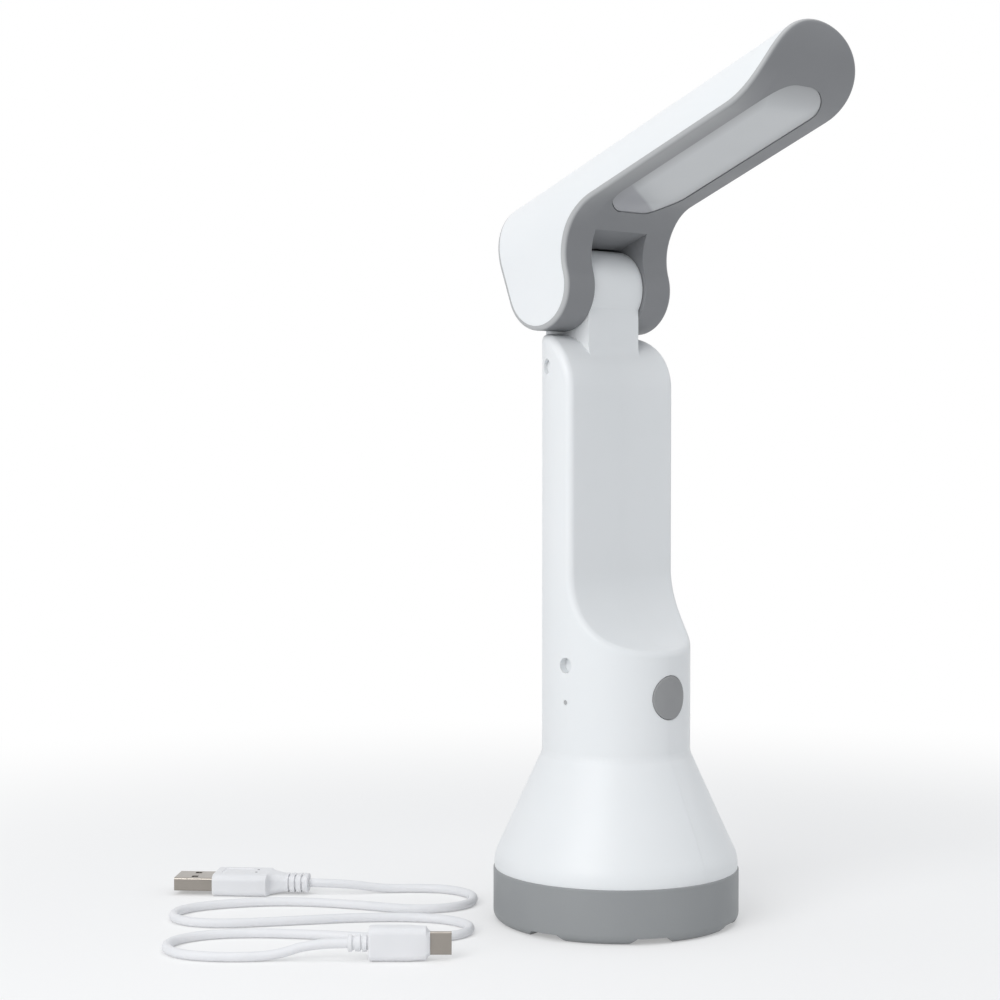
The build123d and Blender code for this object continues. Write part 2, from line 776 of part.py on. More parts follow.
def head_outline(inset):
    """Side view of the lamp head: spoon tip, flat face, ear hollow and lobe, moved inwards."""
    flat = head_flat_y - inset
    top = hinge_z + lobe_radius - inset
    tip = (slope_centre_y, slope_centre_z)
    ear = (ear_centre_y, ear_centre_z)
    hinge = (hinge_y, hinge_z)
    bottom = slope_centre_z - tip_radius + inset
    return [
        sector(tip, tip_radius - inset, -90, 0),
        Line((flat, slope_centre_z), (flat, ear_centre_z)),
        sector(ear, ear_radius + inset, tangent_angle + 180, 180),
        sector(hinge, lobe_radius - inset, tangent_angle, 90),
        Polyline((hinge_y, top), (slope_centre_y, top), (slope_centre_y, bottom)),
    ]


def head_trough(inset):
    """Half pipe with straight sides behind the axis of the barrel."""
    radius = barrel_radius - inset
    edges = [
        sector((0, 0), radius, 180, 360),
        Polyline((radius, 0), (radius, beyond), (-radius, beyond), (-radius, 0)),
    ]
    face = Pos(0, 0, ledge_z - 1) * make_face(edges)
    return extrude(face, hinge_z + 2 * lobe_radius - ledge_z)


def on_trough(edge):
    """Whether an edge of the lamp head is a corner of its outside."""
    places = [edge @ share for share in (0, 0.5, 1)]
    along = abs((edge % 0.5).Z)
    outside = all(
        abs(math.hypot(p.X, min(p.Y, 0)) - barrel_radius) < 0.001 or abs(abs(p.X) - barrel_radius) < 0.001
        for p in places
    )
    return outside and not (along > 0.999 and abs(places[1].Y) < 0.01)


def slot_room(grow, side):
    """Room that the knuckle and its stem need in the lamp head over the whole swing."""
    half = side
    radius = knuckle_radius + slot_clearance + grow
    room = rod((-half, hinge_y, hinge_z), (1, 0, 0), radius, 2 * half)
    front = hinge_y - stem_front - slot_clearance - grow
    back = hinge_y - stem_back - slot_clearance - grow
    room += block((-half, front, hinge_z - 2 * barrel_radius), (half, beyond, hinge_z))
    room += block((-half, back, hinge_z), (half, beyond, hinge_z + 2 * barrel_radius))
    return room


def diffuser_prism(grow):
    """Rounded outline of the diffuser, right through the head."""
    outline = RectangleRounded(diffuser_width + 2 * grow, diffuser_length + 2 * grow, diffuser_corner + grow)
    plane = Plane((0, head_flat_y + 1, diffuser_mid_z), x_dir=(1, 0, 0), z_dir=(0, -1, 0))
    return extrude(plane * outline, barrel_radius)


def head_solid():
    """Whole outer form of the lamp head, with softened corners."""
    form = head_trough(0) & slab(head_outline(0), beyond)
    return fillet(form.edges().filter_by(on_trough), head_edge_radius)


def head_screw_places():
    """Heights of the two screws behind the diffuser."""
    return [diffuser_mid_z - head_screw_spread / 2, diffuser_mid_z + head_screw_spread / 2]


def head_shell(form):
    """White half pipe under the tray, with bosses for the lamp board."""
    shell = (form & slab(head_outline(lip), beyond)) - head_trough(head_wall)
    wall = barrel_radius - head_wall / 2
    for z in head_screw_places():
        boss = rod((0, -wall, z), (0, 1, 0), head_boss_radius, wall + lamp_board_y)
        pilot = rod((0, lamp_board_y, z), (0, -1, 0), head_screw_radius + screw_clearance, head_screw_length)
        shell = shell + boss - pilot
    return shell - slot_room(0, slot_half_width)


def head_tray(form):
    """Grey face of the lamp head: skin, rib inside the shell, and the walls of the slot."""
    skin = form - slab(head_outline(lip), beyond)
    rib_form = slab(head_outline(lip), beyond) & head_trough(head_wall + rib_clearance)
    rib = rib_form - slab(head_outline(lip + rib_layer), beyond)
    walls = slot_room(slot_wall, slot_half_width + slot_wall) & rib_form
    tray = skin + rib + walls
    tray -= slot_room(0, slot_half_width)
    tray -= diffuser_prism(diffuser_clearance)
    bore = rod((-beyond, hinge_y, hinge_z), (1, 0, 0), pin_radius + pin_clearance, 2 * beyond)
    core = head_trough(head_wall + rib_clearance)
    return tray - (bore & core)


def lamp_diffuser():
    """Milky window, flush with the tray and held by a flange behind it."""
    behind = lip + rib_layer + stack_gap
    pane = slab(head_outline(diffuser_recess), beyond) - slab(head_outline(behind), beyond)
    flange = slab(head_outline(behind), beyond) - slab(head_outline(behind + flange_thickness), beyond)
    return (pane & diffuser_prism(0)) + (flange & diffuser_prism(diffuser_flange))


def light_box():
    """White frame between the lamp board and the diffuser."""
    behind = lip + rib_layer + stack_gap + flange_thickness + stack_gap
    frame = diffuser_prism(light_box_wall) - diffuser_prism(0)
    frame &= slab(head_outline(behind), beyond)
    return frame & block((-beyond, lamp_board_y + lamp_board_thickness, 0), (beyond, beyond, hinge_z))


def lamp_led_board():
    """Long board on the bosses of the shell."""
    half = lamp_board_width / 2
    low = diffuser_mid_z - lamp_board_length / 2
    front = lamp_board_y + lamp_board_thickness
    board = block((-half, lamp_board_y, low), (half, front, low + lamp_board_length))
    hole_radius = head_screw_radius + screw_clearance
    for z in head_screw_places():
        board -= rod((0, lamp_board_y, z), (0, 1, 0), hole_radius, lamp_board_thickness)
    return board


def lamp_leds():
    """Two columns of small LEDs."""
    front = lamp_board_y + lamp_board_thickness
    chips = []
    for row in range(lamp_led_rows):
        z = diffuser_mid_z + (row - (lamp_led_rows - 1) / 2) * lamp_led_pitch
        for side in (-1, 1):
            middle = (side * lamp_led_x, front + lamp_led_height / 2, z)
            chips.append(Pos(*middle) * Box(lamp_led_width, lamp_led_height, lamp_led_length))
    return chips


def head_screws():
    """Two screws that hold the lamp board."""
    front = lamp_board_y + lamp_board_thickness
    screws = []
    for z in head_screw_places():
        reach = lamp_board_thickness + head_screw_length - head_screw_end_gap
        shank = rod((0, front, z), (0, -1, 0), head_screw_radius, reach)
        screws.append(shank + rod((0, front, z), (0, 1, 0), head_screw_head_radius, head_screw_head_height))
    return screws


def lamp_lead_upper():
    """Lead from the end of the pin through the ear to the lamp board."""
    end = (barrel_radius, lamp_board_y, diffuser_mid_z + lamp_board_length / 2)
    route = steps_from((pin_end_x, hinge_y, hinge_z), head_lead_from_pin)
    return wire_route(route + steps_from(end, head_lead_from_lamp_board), lead_radius)[0]


# Screws of the body

def body_screws():
    """Two long screws, driven in from the left."""
    screws = []
    for y, z in ((lower_screw_y, lower_screw_z), (upper_screw_y, upper_screw_z)):
        shank = rod((-screw_seat_x, y, z), (1, 0, 0), screw_shank_radius, screw_shank_length)
        head = rod((-screw_seat_x, y, z), (-1, 0, 0), screw_head_radius, screw_head_height)
        slot = block(
            (-screw_seat_x - screw_head_height, y - screw_head_radius, z - screw_slot_width / 2),
            (-screw_seat_x - screw_head_height / 2, y + screw_head_radius, z + screw_slot_width / 2),
        )
        cross = Pos(0, y, z) * Rot(90, 0, 0) * Pos(0, -y, -z) * slot
        screws.append(shank + head - slot - cross)
    return screws


# Charging cable

def floor_point(a, b, z):
    """Place on the floor from the plan of the cable."""
    turn = math.radians(view_angle)
    right = cable_corner_right + a
    away = cable_corner_away - b
    x = right * math.cos(turn) + away * math.sin(turn)
    y = away * math.cos(turn) - right * math.sin(turn)
    return (x, y, z)


def plug_frame(inner, outer):
    """Frame at the end of the cable: Z runs out along the plug, X stays level."""
    end = Vector(floor_point(*outer))
    back = Vector(floor_point(*inner))
    out = (end - back)
    out = Vector(out.X, out.Y, 0).normalized()
    level = out.cross(Vector(0, 0, 1))
    return Plane(end, x_dir=level, z_dir=out)


def grooved(form, frame, length):
    """Cuts the flexing grooves of a strain relief."""
    gap = length / (relief_groove_count + 1)
    for index in range(relief_groove_count):
        start = (index + 1) * gap - relief_groove_width / 2
        band = extrude(Plane(frame.origin + frame.z_dir * start, x_dir=frame.x_dir, z_dir=frame.z_dir)
                       * Rectangle(4 * usb_relief_width, 4 * usb_relief_width), relief_groove_width)
        core = offset_core(form, frame, start)
        form = form - (band - core)
    return form


def offset_core(form, frame, start):
    """Core that is left inside a groove."""
    plane = Plane(frame.origin + frame.z_dir * start, x_dir=frame.x_dir, z_dir=frame.z_dir)
    box = form.bounding_box()
    narrow = min(box.size.X, box.size.Y, box.size.Z)
    return extrude(plane * Circle(narrow / 2 - relief_groove_depth), relief_groove_width)


def usb_plug():
    """Shell, insert, housing and strain relief of the broad plug."""
    frame = plug_frame(cable_points[1], cable_points[0])
    narrow = RectangleRounded(usb_relief_width, usb_relief_height, usb_corner_radius)
    wide = RectangleRounded(usb_housing_width, usb_housing_height, usb_corner_radius)
    relief = grooved(extrude(frame * narrow, usb_relief_length), frame, usb_relief_length)
    start = frame.offset(usb_relief_length)
    middle = start.offset(usb_taper_length)
    neck = loft([start * narrow, middle * wide])
    grip = extrude(middle * wide, usb_housing_length)
    mouth = middle.offset(usb_housing_length)
    root = mouth.offset(-shell_root)
    outer = extrude(root * Rectangle(usb_shell_width, usb_shell_height), shell_root + usb_shell_length)
    inside_width = usb_shell_width - 2 * usb_shell_wall
    inside_height = usb_shell_height - 2 * usb_shell_wall
    inside = extrude(root * Rectangle(inside_width, inside_height), shell_root + usb_shell_length)
    shell = outer - inside
    place = mouth.offset(usb_shell_length / 2)
    for side in (-1, 1):
        hole = Rectangle(usb_window, 2 * usb_shell_height)
        shell -= extrude(place * Pos(side * usb_window_offset, 0) * hole, usb_window)
    tongue_height = inside_height / 2
    tongue = extrude(
        root * Pos(0, -(inside_height - tongue_height) / 2 + tongue_clearance)
        * Rectangle(inside_width - 2 * tongue_clearance, tongue_height - tongue_clearance),
        shell_root + usb_shell_length - insert_setback,
    )
    return {
        "usb_strain_relief": relief,
        "usb_plug_housing": neck + grip - outer - inside,
        "usb_plug_shell": shell,
        "usb_plug_insert": tongue,
    }


def micro_plug():
    """Shell, insert, housing and strain relief of the small plug, lying on its edge."""
    frame = plug_frame(cable_points[-2], cable_points[-1])
    relief = extrude(frame * Circle(micro_relief_radius), micro_relief_length)
    relief = grooved(relief, frame, micro_relief_length)
    start = frame.offset(micro_relief_length)
    outline = RectangleRounded(micro_housing_height, micro_housing_width, micro_corner_radius)
    housing = extrude(start * outline, micro_housing_length)
    housing = fillet(housing.edges().filter_by(GeomType.LINE, reverse=True), micro_end_round)
    mouth = start.offset(micro_housing_length)
    root = mouth.offset(-shell_root)
    full = shell_root + micro_shell_length
    outer = extrude(root * Rectangle(micro_shell_height, micro_shell_width), full)
    inside_height = micro_shell_height - 2 * micro_shell_wall
    inside_width = micro_shell_width - 2 * micro_shell_wall
    inside = extrude(root * Rectangle(inside_height, inside_width), full)
    tongue = extrude(
        root * Pos(-inside_height / 4, 0)
        * Rectangle(inside_height / 2 - tongue_clearance, inside_width - 2 * tongue_clearance),
        full - insert_setback,
    )
    return {
        "micro_strain_relief": relief,
        "micro_plug_housing": housing - outer,
        "micro_plug_shell": outer - inside,
        "micro_plug_insert": tongue,
    }


def charging_cable():
    """Free cable between the two plugs."""
    solid, radii, length = wire_route([floor_point(*p) for p in cable_points], cable_radius)
    section = math.pi * cable_radius ** 2
    print("charging cable: length %.1f mm" % length)
    print("charging cable: volume %.1f, section by length %.1f" % (solid.volume, section * length))
    print("charging cable: radii", [round(r, 1) for r in radii])
    return solid


# All nodes

def opened(piece):
    """Turns a piece of the lamp head from folded to open."""
    return piece.rotate(hinge_axis, -open_angle)


def save(name, solids):
    """Writes one node, from a solid or a list of them."""
    if isinstance(solids, (list, tuple)):
        solids = Compound(children=list(solids)) if len(solids) > 1 else solids[0]
    solids.label = name
    export_step(solids, os.path.join("parts", name + ".step"))


whole_body = body()
halves = {
    "body_shell_left": block((-beyond, -beyond, 0), (0, beyond, 2 * hinge_z)),
    "body_shell_right": block((0, -beyond, 0), (beyond, beyond, 2 * hinge_z)),
}
for name, half in halves.items():
    save(name, whole_body & half)

fixed = {
    "body_screws": body_screws(),
    "torch_bezel": torch_bezel(),
    "lens_seal": lens_seal(),
    "torch_lens": torch_lens(),
    "torch_reflector": torch_reflector(),
    "torch_led": torch_led(),
    "torch_led_board": torch_led_board(),
    "torch_heat_sink": torch_heat_sink(),
    "torch_leads": torch_leads(),
    "main_board": main_board(),
    "board_components": board_components(),
    "tact_switch": tact_switch(),
    "switch_plunger": switch_plunger(),
    "button_cap": button_cap(),
    "usb_socket": usb_socket(),
    "indicator_led": indicator_led(),
    "light_pipe": light_pipe(),
    "battery_cradle": battery_cradle(),
    "battery_cell": battery_cell(),
    "battery_contacts": battery_contacts(),
    "battery_leads": battery_leads(),
    "hinge_pin": hinge_pin(),
    "hinge_washer": hinge_washer(),
    "hinge_spring": hinge_spring(),
    "hinge_nut": hinge_nut(),
    "lamp_lead_lower": lamp_lead_lower(),
    "charging_cable": charging_cable(),
}
for name, solids in fixed.items():
    save(name, solids)
for plug in (usb_plug(), micro_plug()):
    for name, solid in plug.items():
        save(name, solid)

form = head_solid()
head = {
    "head_shell": head_shell(form),
    "head_tray": head_tray(form),
    "lamp_diffuser": lamp_diffuser(),
    "light_box": light_box(),
    "lamp_led_board": lamp_led_board(),
    "lamp_leds": Compound(children=lamp_leds()),
    "head_screws": Compound(children=head_screws()),
    "lamp_lead_upper": lamp_lead_upper(),
}
for name, solids in head.items():
    save(name, opened(solids))
print("hinge at y %.2f, z %.2f" % (hinge_y, hinge_z))
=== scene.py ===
import bpy
import bmesh
import json
import math
from mathutils import Matrix, Vector


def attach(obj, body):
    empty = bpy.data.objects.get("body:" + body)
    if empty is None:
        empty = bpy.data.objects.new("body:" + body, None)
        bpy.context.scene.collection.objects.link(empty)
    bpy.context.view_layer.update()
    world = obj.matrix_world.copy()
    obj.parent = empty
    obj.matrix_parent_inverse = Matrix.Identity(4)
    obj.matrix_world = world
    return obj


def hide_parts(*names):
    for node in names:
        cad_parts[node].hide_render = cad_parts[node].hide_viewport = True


# Rechargeable lantern: a torch on its bezel with a folding lamp head, and its charging cable.
# Metres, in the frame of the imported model.

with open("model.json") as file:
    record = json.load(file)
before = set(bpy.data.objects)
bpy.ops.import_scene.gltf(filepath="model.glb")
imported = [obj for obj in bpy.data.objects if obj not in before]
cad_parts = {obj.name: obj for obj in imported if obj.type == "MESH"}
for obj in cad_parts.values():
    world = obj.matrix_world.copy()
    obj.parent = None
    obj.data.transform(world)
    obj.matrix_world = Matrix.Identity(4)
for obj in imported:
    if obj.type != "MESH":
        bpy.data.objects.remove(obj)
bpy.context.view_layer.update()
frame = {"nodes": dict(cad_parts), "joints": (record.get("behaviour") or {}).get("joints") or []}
nodes = frame["nodes"]
mm = 0.001
print("frame loaded, nodes:", len(nodes))


# Camera

camera = {
    "lens": 76.6,
    "sensor": 36.0,
    "near": 0.01,
    "far": 50.0,
    "place": (-0.4951, -0.4855, 0.1578),
    "turn": 42.43,      # degrees from +Y towards +X
    "tilt": 1.753,      # degrees down
}


def addCamera():
    data = bpy.data.cameras.new("photoCamera")
    data.lens = camera["lens"]
    data.sensor_width = camera["sensor"]
    data.clip_start = camera["near"]
    data.clip_end = camera["far"]
    view = bpy.data.objects.new("photoCamera", data)
    view.location = camera["place"]
    view.rotation_euler = (math.radians(90.0 - camera["tilt"]), 0.0, -math.radians(camera["turn"]))
    bpy.context.scene.collection.objects.link(view)
    bpy.context.scene.camera = view


addCamera()
print("camera made")


# Shader helpers

noiseShape = {
    "patchDetail": 3.0, "glossDetail": 2.0, "grainDetail": 1.0,
    "flowDetail": 2.0, "flowRoughness": 0.4, "flowDistortion": 0.6,
    "streakDetail": 4.0, "streakRoughness": 0.6,
}
plasticScatter = (1.0, 0.95, 0.9)     # share of red, green and blue under the surface


def newMaterial(name):
    material = bpy.data.materials.new(name)
    material.use_nodes = True
    tree = material.node_tree
    tree.nodes.clear()
    output = tree.nodes.new("ShaderNodeOutputMaterial")
    shader = tree.nodes.new("ShaderNodeBsdfPrincipled")
    tree.links.new(shader.outputs["BSDF"], output.inputs["Surface"])
    return material, tree, shader


def addNode(tree, kind, values=(), **settings):
    node = tree.nodes.new(kind)
    for key, value in settings.items():
        setattr(node, key, value)
    for key, value in dict(values).items():
        node.inputs[key].default_value = value
    return node


def objectPoint(tree):
    return addNode(tree, "ShaderNodeTexCoord").outputs["Object"]


def noise(tree, point, scale, detail=2.0, rough=0.5, distortion=0.0):
    values = {"Scale": scale, "Detail": detail, "Roughness": rough, "Distortion": distortion}
    node = addNode(tree, "ShaderNodeTexNoise", values)
    tree.links.new(point, node.inputs["Vector"])
    return node.outputs["Fac"]


def spread(tree, value, low, high, fromLow=0.3, fromHigh=0.7):
    node = addNode(tree, "ShaderNodeMapRange", {
        "From Min": fromLow, "From Max": fromHigh, "To Min": low, "To Max": high})
    tree.links.new(value, node.inputs["Value"])
    return node.outputs["Result"]


def blendTones(tree, share, first, second):
    node = addNode(tree, "ShaderNodeMix", data_type="RGBA")
    node.inputs["A"].default_value = (*first, 1.0)
    node.inputs["B"].default_value = (*second, 1.0)
    tree.links.new(share, node.inputs["Factor"])
    return node.outputs["Result"]


def foldedParts(tree, point):
    # Place on the lamp head as it is when folded, from the hinge
    tilt = next(j for j in frame["joints"] if j["name"] == "head_tilt")
    openAngle = -math.radians(tilt["range_deg"][0])
    back = Matrix.Rotation(openAngle, 3, "X")
    mapping = addNode(tree, "ShaderNodeMapping", {
        "Rotation": (openAngle, 0.0, 0.0), "Location": -(back @ Vector(tilt["pos_m"]))})
    tree.links.new(point, mapping.inputs["Vector"])
    parts = addNode(tree, "ShaderNodeSeparateXYZ")
    tree.links.new(mapping.outputs["Vector"], parts.inputs["Vector"])
    return parts.outputs


def sums(tree, operation, first, second):
    # One step of arithmetic, where the second is a socket or a constant
    node = addNode(tree, "ShaderNodeMath", operation=operation)
    tree.links.new(first, node.inputs[0])
    if isinstance(second, (int, float)):
        node.inputs[1].default_value = second
    else:
        tree.links.new(second, node.inputs[1])
    return node.outputs["Value"]


def blendInto(tree, share, first, second):
    # Blend of a socket's colour into a constant one
    node = addNode(tree, "ShaderNodeMix", data_type="RGBA")
    tree.links.new(first, node.inputs["A"])
    node.inputs["B"].default_value = (*second, 1.0)
    tree.links.new(share, node.inputs["Factor"])
    return node.outputs["Result"]


def addBump(tree, shader, height, depth, before=None):
    node = addNode(tree, "ShaderNodeBump", {"Strength": 1.0, "Distance": depth})
    tree.links.new(height, node.inputs["Height"])
    if before is not None:
        tree.links.new(before, node.inputs["Normal"])
    tree.links.new(node.outputs["Normal"], shader.inputs["Normal"])
    return node.outputs["Normal"]


def mouldedPlastic(name, look):
    # Two close tones in soft patches, patchy gloss, and the fine grain of the mould
    material, tree, shader = newMaterial(name)
    point = objectPoint(tree)
    patches = spread(tree, noise(tree, point, look["patchScale"], noiseShape["patchDetail"]), 0.0, 1.0)
    tree.links.new(blendTones(tree, patches, look["tone"], look["toneTwo"]), shader.inputs["Base Color"])
    patchy = noise(tree, point, look["glossScale"], noiseShape["glossDetail"])
    tree.links.new(spread(tree, patchy, *look["roughness"]), shader.inputs["Roughness"])
    grain = noise(tree, point, look["grainScale"], noiseShape["grainDetail"])
    flow = noise(tree, point, look["flowScale"], noiseShape["flowDetail"],
                 noiseShape["flowRoughness"], noiseShape["flowDistortion"])
    first = addBump(tree, shader, grain, look["grainDepth"])
    addBump(tree, shader, flow, look["flowDepth"], first)
    shader.inputs["IOR"].default_value = look["ior"]
    shader.inputs["Specular IOR Level"].default_value = look["specular"]
    shader.inputs["Subsurface Weight"].default_value = look.get("subsurface", 0.0)
    shader.inputs["Subsurface Scale"].default_value = look.get("subsurfaceScale", 0.002)
    shader.inputs["Subsurface Radius"].default_value = plasticScatter
    return material


def brushedMetal(name, look):
    # Rolled or turned metal: streaks of roughness along one way, faint tarnish
    material, tree, shader = newMaterial(name)
    point = objectPoint(tree)
    mapping = addNode(tree, "ShaderNodeMapping", {"Scale": look["streak"]})
    tree.links.new(point, mapping.inputs["Vector"])
    streaks = noise(tree, mapping.outputs["Vector"], look["streakScale"],
                    noiseShape["streakDetail"], noiseShape["streakRoughness"])
    tarnish = spread(tree, noise(tree, point, look["patchScale"], noiseShape["patchDetail"]), 0.0, 1.0)
    tree.links.new(blendTones(tree, tarnish, look["tone"], look["toneTwo"]), shader.inputs["Base Color"])
    tree.links.new(spread(tree, streaks, *look["roughness"]), shader.inputs["Roughness"])
    addBump(tree, shader, streaks, look["streakDepth"])
    shader.inputs["Metallic"].default_value = 1.0
    return material


def dress(names, material):
    for name in names:
        piece = nodes[name]
        piece.data.materials.clear()
        piece.data.materials.append(material)


# White shells of the body and of the lamp head

whiteLook = {
    "tone": (0.82, 0.835, 0.845), "toneTwo": (0.80, 0.82, 0.83), "patchScale": 22.0,
    "glossScale": 60.0, "roughness": (0.36, 0.44),
    "grainScale": 3600.0, "grainDepth": 0.000012, "flowScale": 35.0, "flowDepth": 0.00006,
    "ior": 1.49, "specular": 0.42, "subsurface": 0.12, "subsurfaceScale": 0.0015,
}
whitePlastic = mouldedPlastic("satinWhitePlastic", whiteLook)
dress(["body_shell_left", "body_shell_right", "head_shell"], whitePlastic)


# Grey face of the lamp head

trayLook = {
    "tone": (0.235, 0.24, 0.25), "toneTwo": (0.225, 0.23, 0.24), "patchScale": 30.0,
    "glossScale": 80.0, "roughness": (0.42, 0.52),
    "grainScale": 3000.0, "grainDepth": 0.00002, "flowScale": 40.0, "flowDepth": 0.00005,
    "ior": 1.49, "specular": 0.4,
}
# Painted highlights on the grey face: its rounded rim and a strip beside the window on the left side get a
# lighter colour, for the light that falls on them
paintedTrayHighlights = {
    "tone": (0.45, 0.455, 0.46),    # the rounded rim catches more light than the face
    "troughRadius": 0.02415,
    "start": 0.0013,                # in from the outside of the trough
    "end": 0.0005,
    "litStripTone": (0.37, 0.375, 0.38),   # painted highlight: a lighter strip beside the window on the left side
    "stripShares": (0.3, 0.9),
    "stripAcross": (-0.0150, -0.0225),
    "stripStart": (-0.0140, -0.0150),   # where it begins to show
    "stripTip": (-0.108, -0.085),
    "stripHinge": (-0.020, -0.040),
}


# Paints the highlights of the rim and of the strip beside the window into the grey face's base colour
def addPaintedTrayHighlights(material):
    tree = material.node_tree
    shader = next(node for node in tree.nodes if node.type == "BSDF_PRINCIPLED")
    tone = shader.inputs["Base Color"].links[0].from_socket
    x, y, z = foldedParts(tree, objectPoint(tree))
    hingeY = frame["joints"][0]["pos_m"][1]
    behind = sums(tree, "MINIMUM", sums(tree, "ADD", y, hingeY), 0.0)
    across = addNode(tree, "ShaderNodeCombineXYZ")
    tree.links.new(x, across.inputs["X"])
    tree.links.new(behind, across.inputs["Y"])
    length = addNode(tree, "ShaderNodeVectorMath", operation="LENGTH")
    tree.links.new(across.outputs["Vector"], length.inputs[0])
    # painted highlight: lighter colour on the rounded rim of the trough
    rimStart = paintedTrayHighlights["troughRadius"] - paintedTrayHighlights["start"]
    rimEnd = paintedTrayHighlights["troughRadius"] - paintedTrayHighlights["end"]
    share = spread(tree, length.outputs["Value"], 0.0, 1.0, rimStart, rimEnd)
    # painted highlight: a lighter strip beside the window on the left side, between the tip and the hinge
    litStrip = spread(tree, x, *paintedTrayHighlights["stripShares"], *paintedTrayHighlights["stripAcross"])
    litStrip = sums(tree, "MULTIPLY", litStrip, spread(tree, x, 0.0, 1.0, *paintedTrayHighlights["stripStart"]))
    litStrip = sums(tree, "MULTIPLY", litStrip, spread(tree, z, 0.0, 1.0, *paintedTrayHighlights["stripTip"]))
    litStrip = sums(tree, "MULTIPLY", litStrip, spread(tree, z, 0.0, 1.0, *paintedTrayHighlights["stripHinge"]))
    tone = blendInto(tree, litStrip, tone, paintedTrayHighlights["litStripTone"])
    tree.links.new(blendInto(tree, share, tone, paintedTrayHighlights["tone"]), shader.inputs["Base Color"])


trayPlastic = mouldedPlastic("greyFacePlastic", trayLook)
addPaintedTrayHighlights(trayPlastic)
dress(["head_tray"], trayPlastic)


# Torch bezel

bezelLook = {
    "tone": (0.30, 0.31, 0.315), "toneTwo": (0.285, 0.295, 0.302), "patchScale": 26.0,
    "glossScale": 90.0, "roughness": (0.46, 0.58),
    "grainScale": 2600.0, "grainDepth": 0.000025, "flowScale": 50.0, "flowDepth": 0.00005,
    "ior": 1.49, "specular": 0.4,
}
dress(["torch_bezel"], mouldedPlastic("greyBezelPlastic", bezelLook))


# Push button

buttonLook = {
    "tone": (0.315, 0.318, 0.322), "toneTwo": (0.30, 0.303, 0.308), "patchScale": 120.0,
    "glossScale": 200.0, "roughness": (0.5, 0.6),
    "grainScale": 3800.0, "grainDepth": 0.00002, "flowScale": 80.0, "flowDepth": 0.00003,
    "ior": 1.47, "specular": 0.35,
}
dress(["button_cap"], mouldedPlastic("greyButtonRubber", buttonLook))


# Milky window of the lamp head

diffuser = {
    "tone": (0.56, 0.575, 0.585),
    "shadedEndTone": (0.41, 0.415, 0.435),    # painted shade: darker at the end by the hinge, where no light box lies behind the window
    "endHeight": 0.0330,                # below the hinge, head folded
    "endSlope": 0.6,
    "endBlur": 0.0006,
    "glossScale": 70.0,
    "roughness": (0.3, 0.38),
    "grainScale": 2200.0,
    "grainDepth": 0.00001,
    "fadeTone": (0.34, 0.345, 0.355),   # towards the tip and the side away from the light
    "fadeShare": 0.75,
    "tipFade": (-0.1039, -0.0940),
    "sideFade": (-0.0147, -0.0085),
    "farFade": (0.0147, 0.0095),
    "farShare": 0.4,
    "subsurface": 0.35,
    "subsurfaceScale": 0.003,
    "scatter": (1.0, 1.0, 1.0),
    "ior": 1.49,
}


# Milky window with painted shade: darker at the end by the hinge, towards the tip and towards both long
# edges
def shadedMilkyPlastic(look):
    material, tree, shader = newMaterial("milkyWindow")
    point = objectPoint(tree)
    x, y, z = foldedParts(tree, point)
    # painted shade: darker end of the window by the hinge, past a slanting line
    across = sums(tree, "SUBTRACT", z, sums(tree, "MULTIPLY", x, look["endSlope"]))
    low = -look["endHeight"] - look["endBlur"]
    end = spread(tree, across, 0.0, 1.0, low, low + 2 * look["endBlur"])
    plain = blendTones(tree, end, look["tone"], look["shadedEndTone"])
    # painted shade: darker towards the tip and towards both long edges of the window
    fades = []
    for part, (start, stop) in ((z, look["tipFade"]), (x, look["sideFade"])):
        fades.append(spread(tree, part, look["fadeShare"], 0.0, start, stop))
    fade = sums(tree, "MAXIMUM", fades[0], fades[1])
    fade = sums(tree, "MAXIMUM", fade, spread(tree, x, look["farShare"], 0.0, *look["farFade"]))
    tree.links.new(blendInto(tree, fade, plain, look["fadeTone"]), shader.inputs["Base Color"])
    gloss = spread(tree, noise(tree, point, look["glossScale"]), *look["roughness"])
    tree.links.new(gloss, shader.inputs["Roughness"])
    grain = noise(tree, point, look["grainScale"], noiseShape["grainDetail"])
    addBump(tree, shader, grain, look["grainDepth"])
    shader.inputs["Subsurface Weight"].default_value = look["subsurface"]
    shader.inputs["Subsurface Scale"].default_value = look["subsurfaceScale"]
    shader.inputs["Subsurface Radius"].default_value = look["scatter"]
    shader.inputs["IOR"].default_value = look["ior"]
    return material


dress(["lamp_diffuser"], shadedMilkyPlastic(diffuser))
print("shells, bezel, button and window finished")


# Inner pieces and small metal

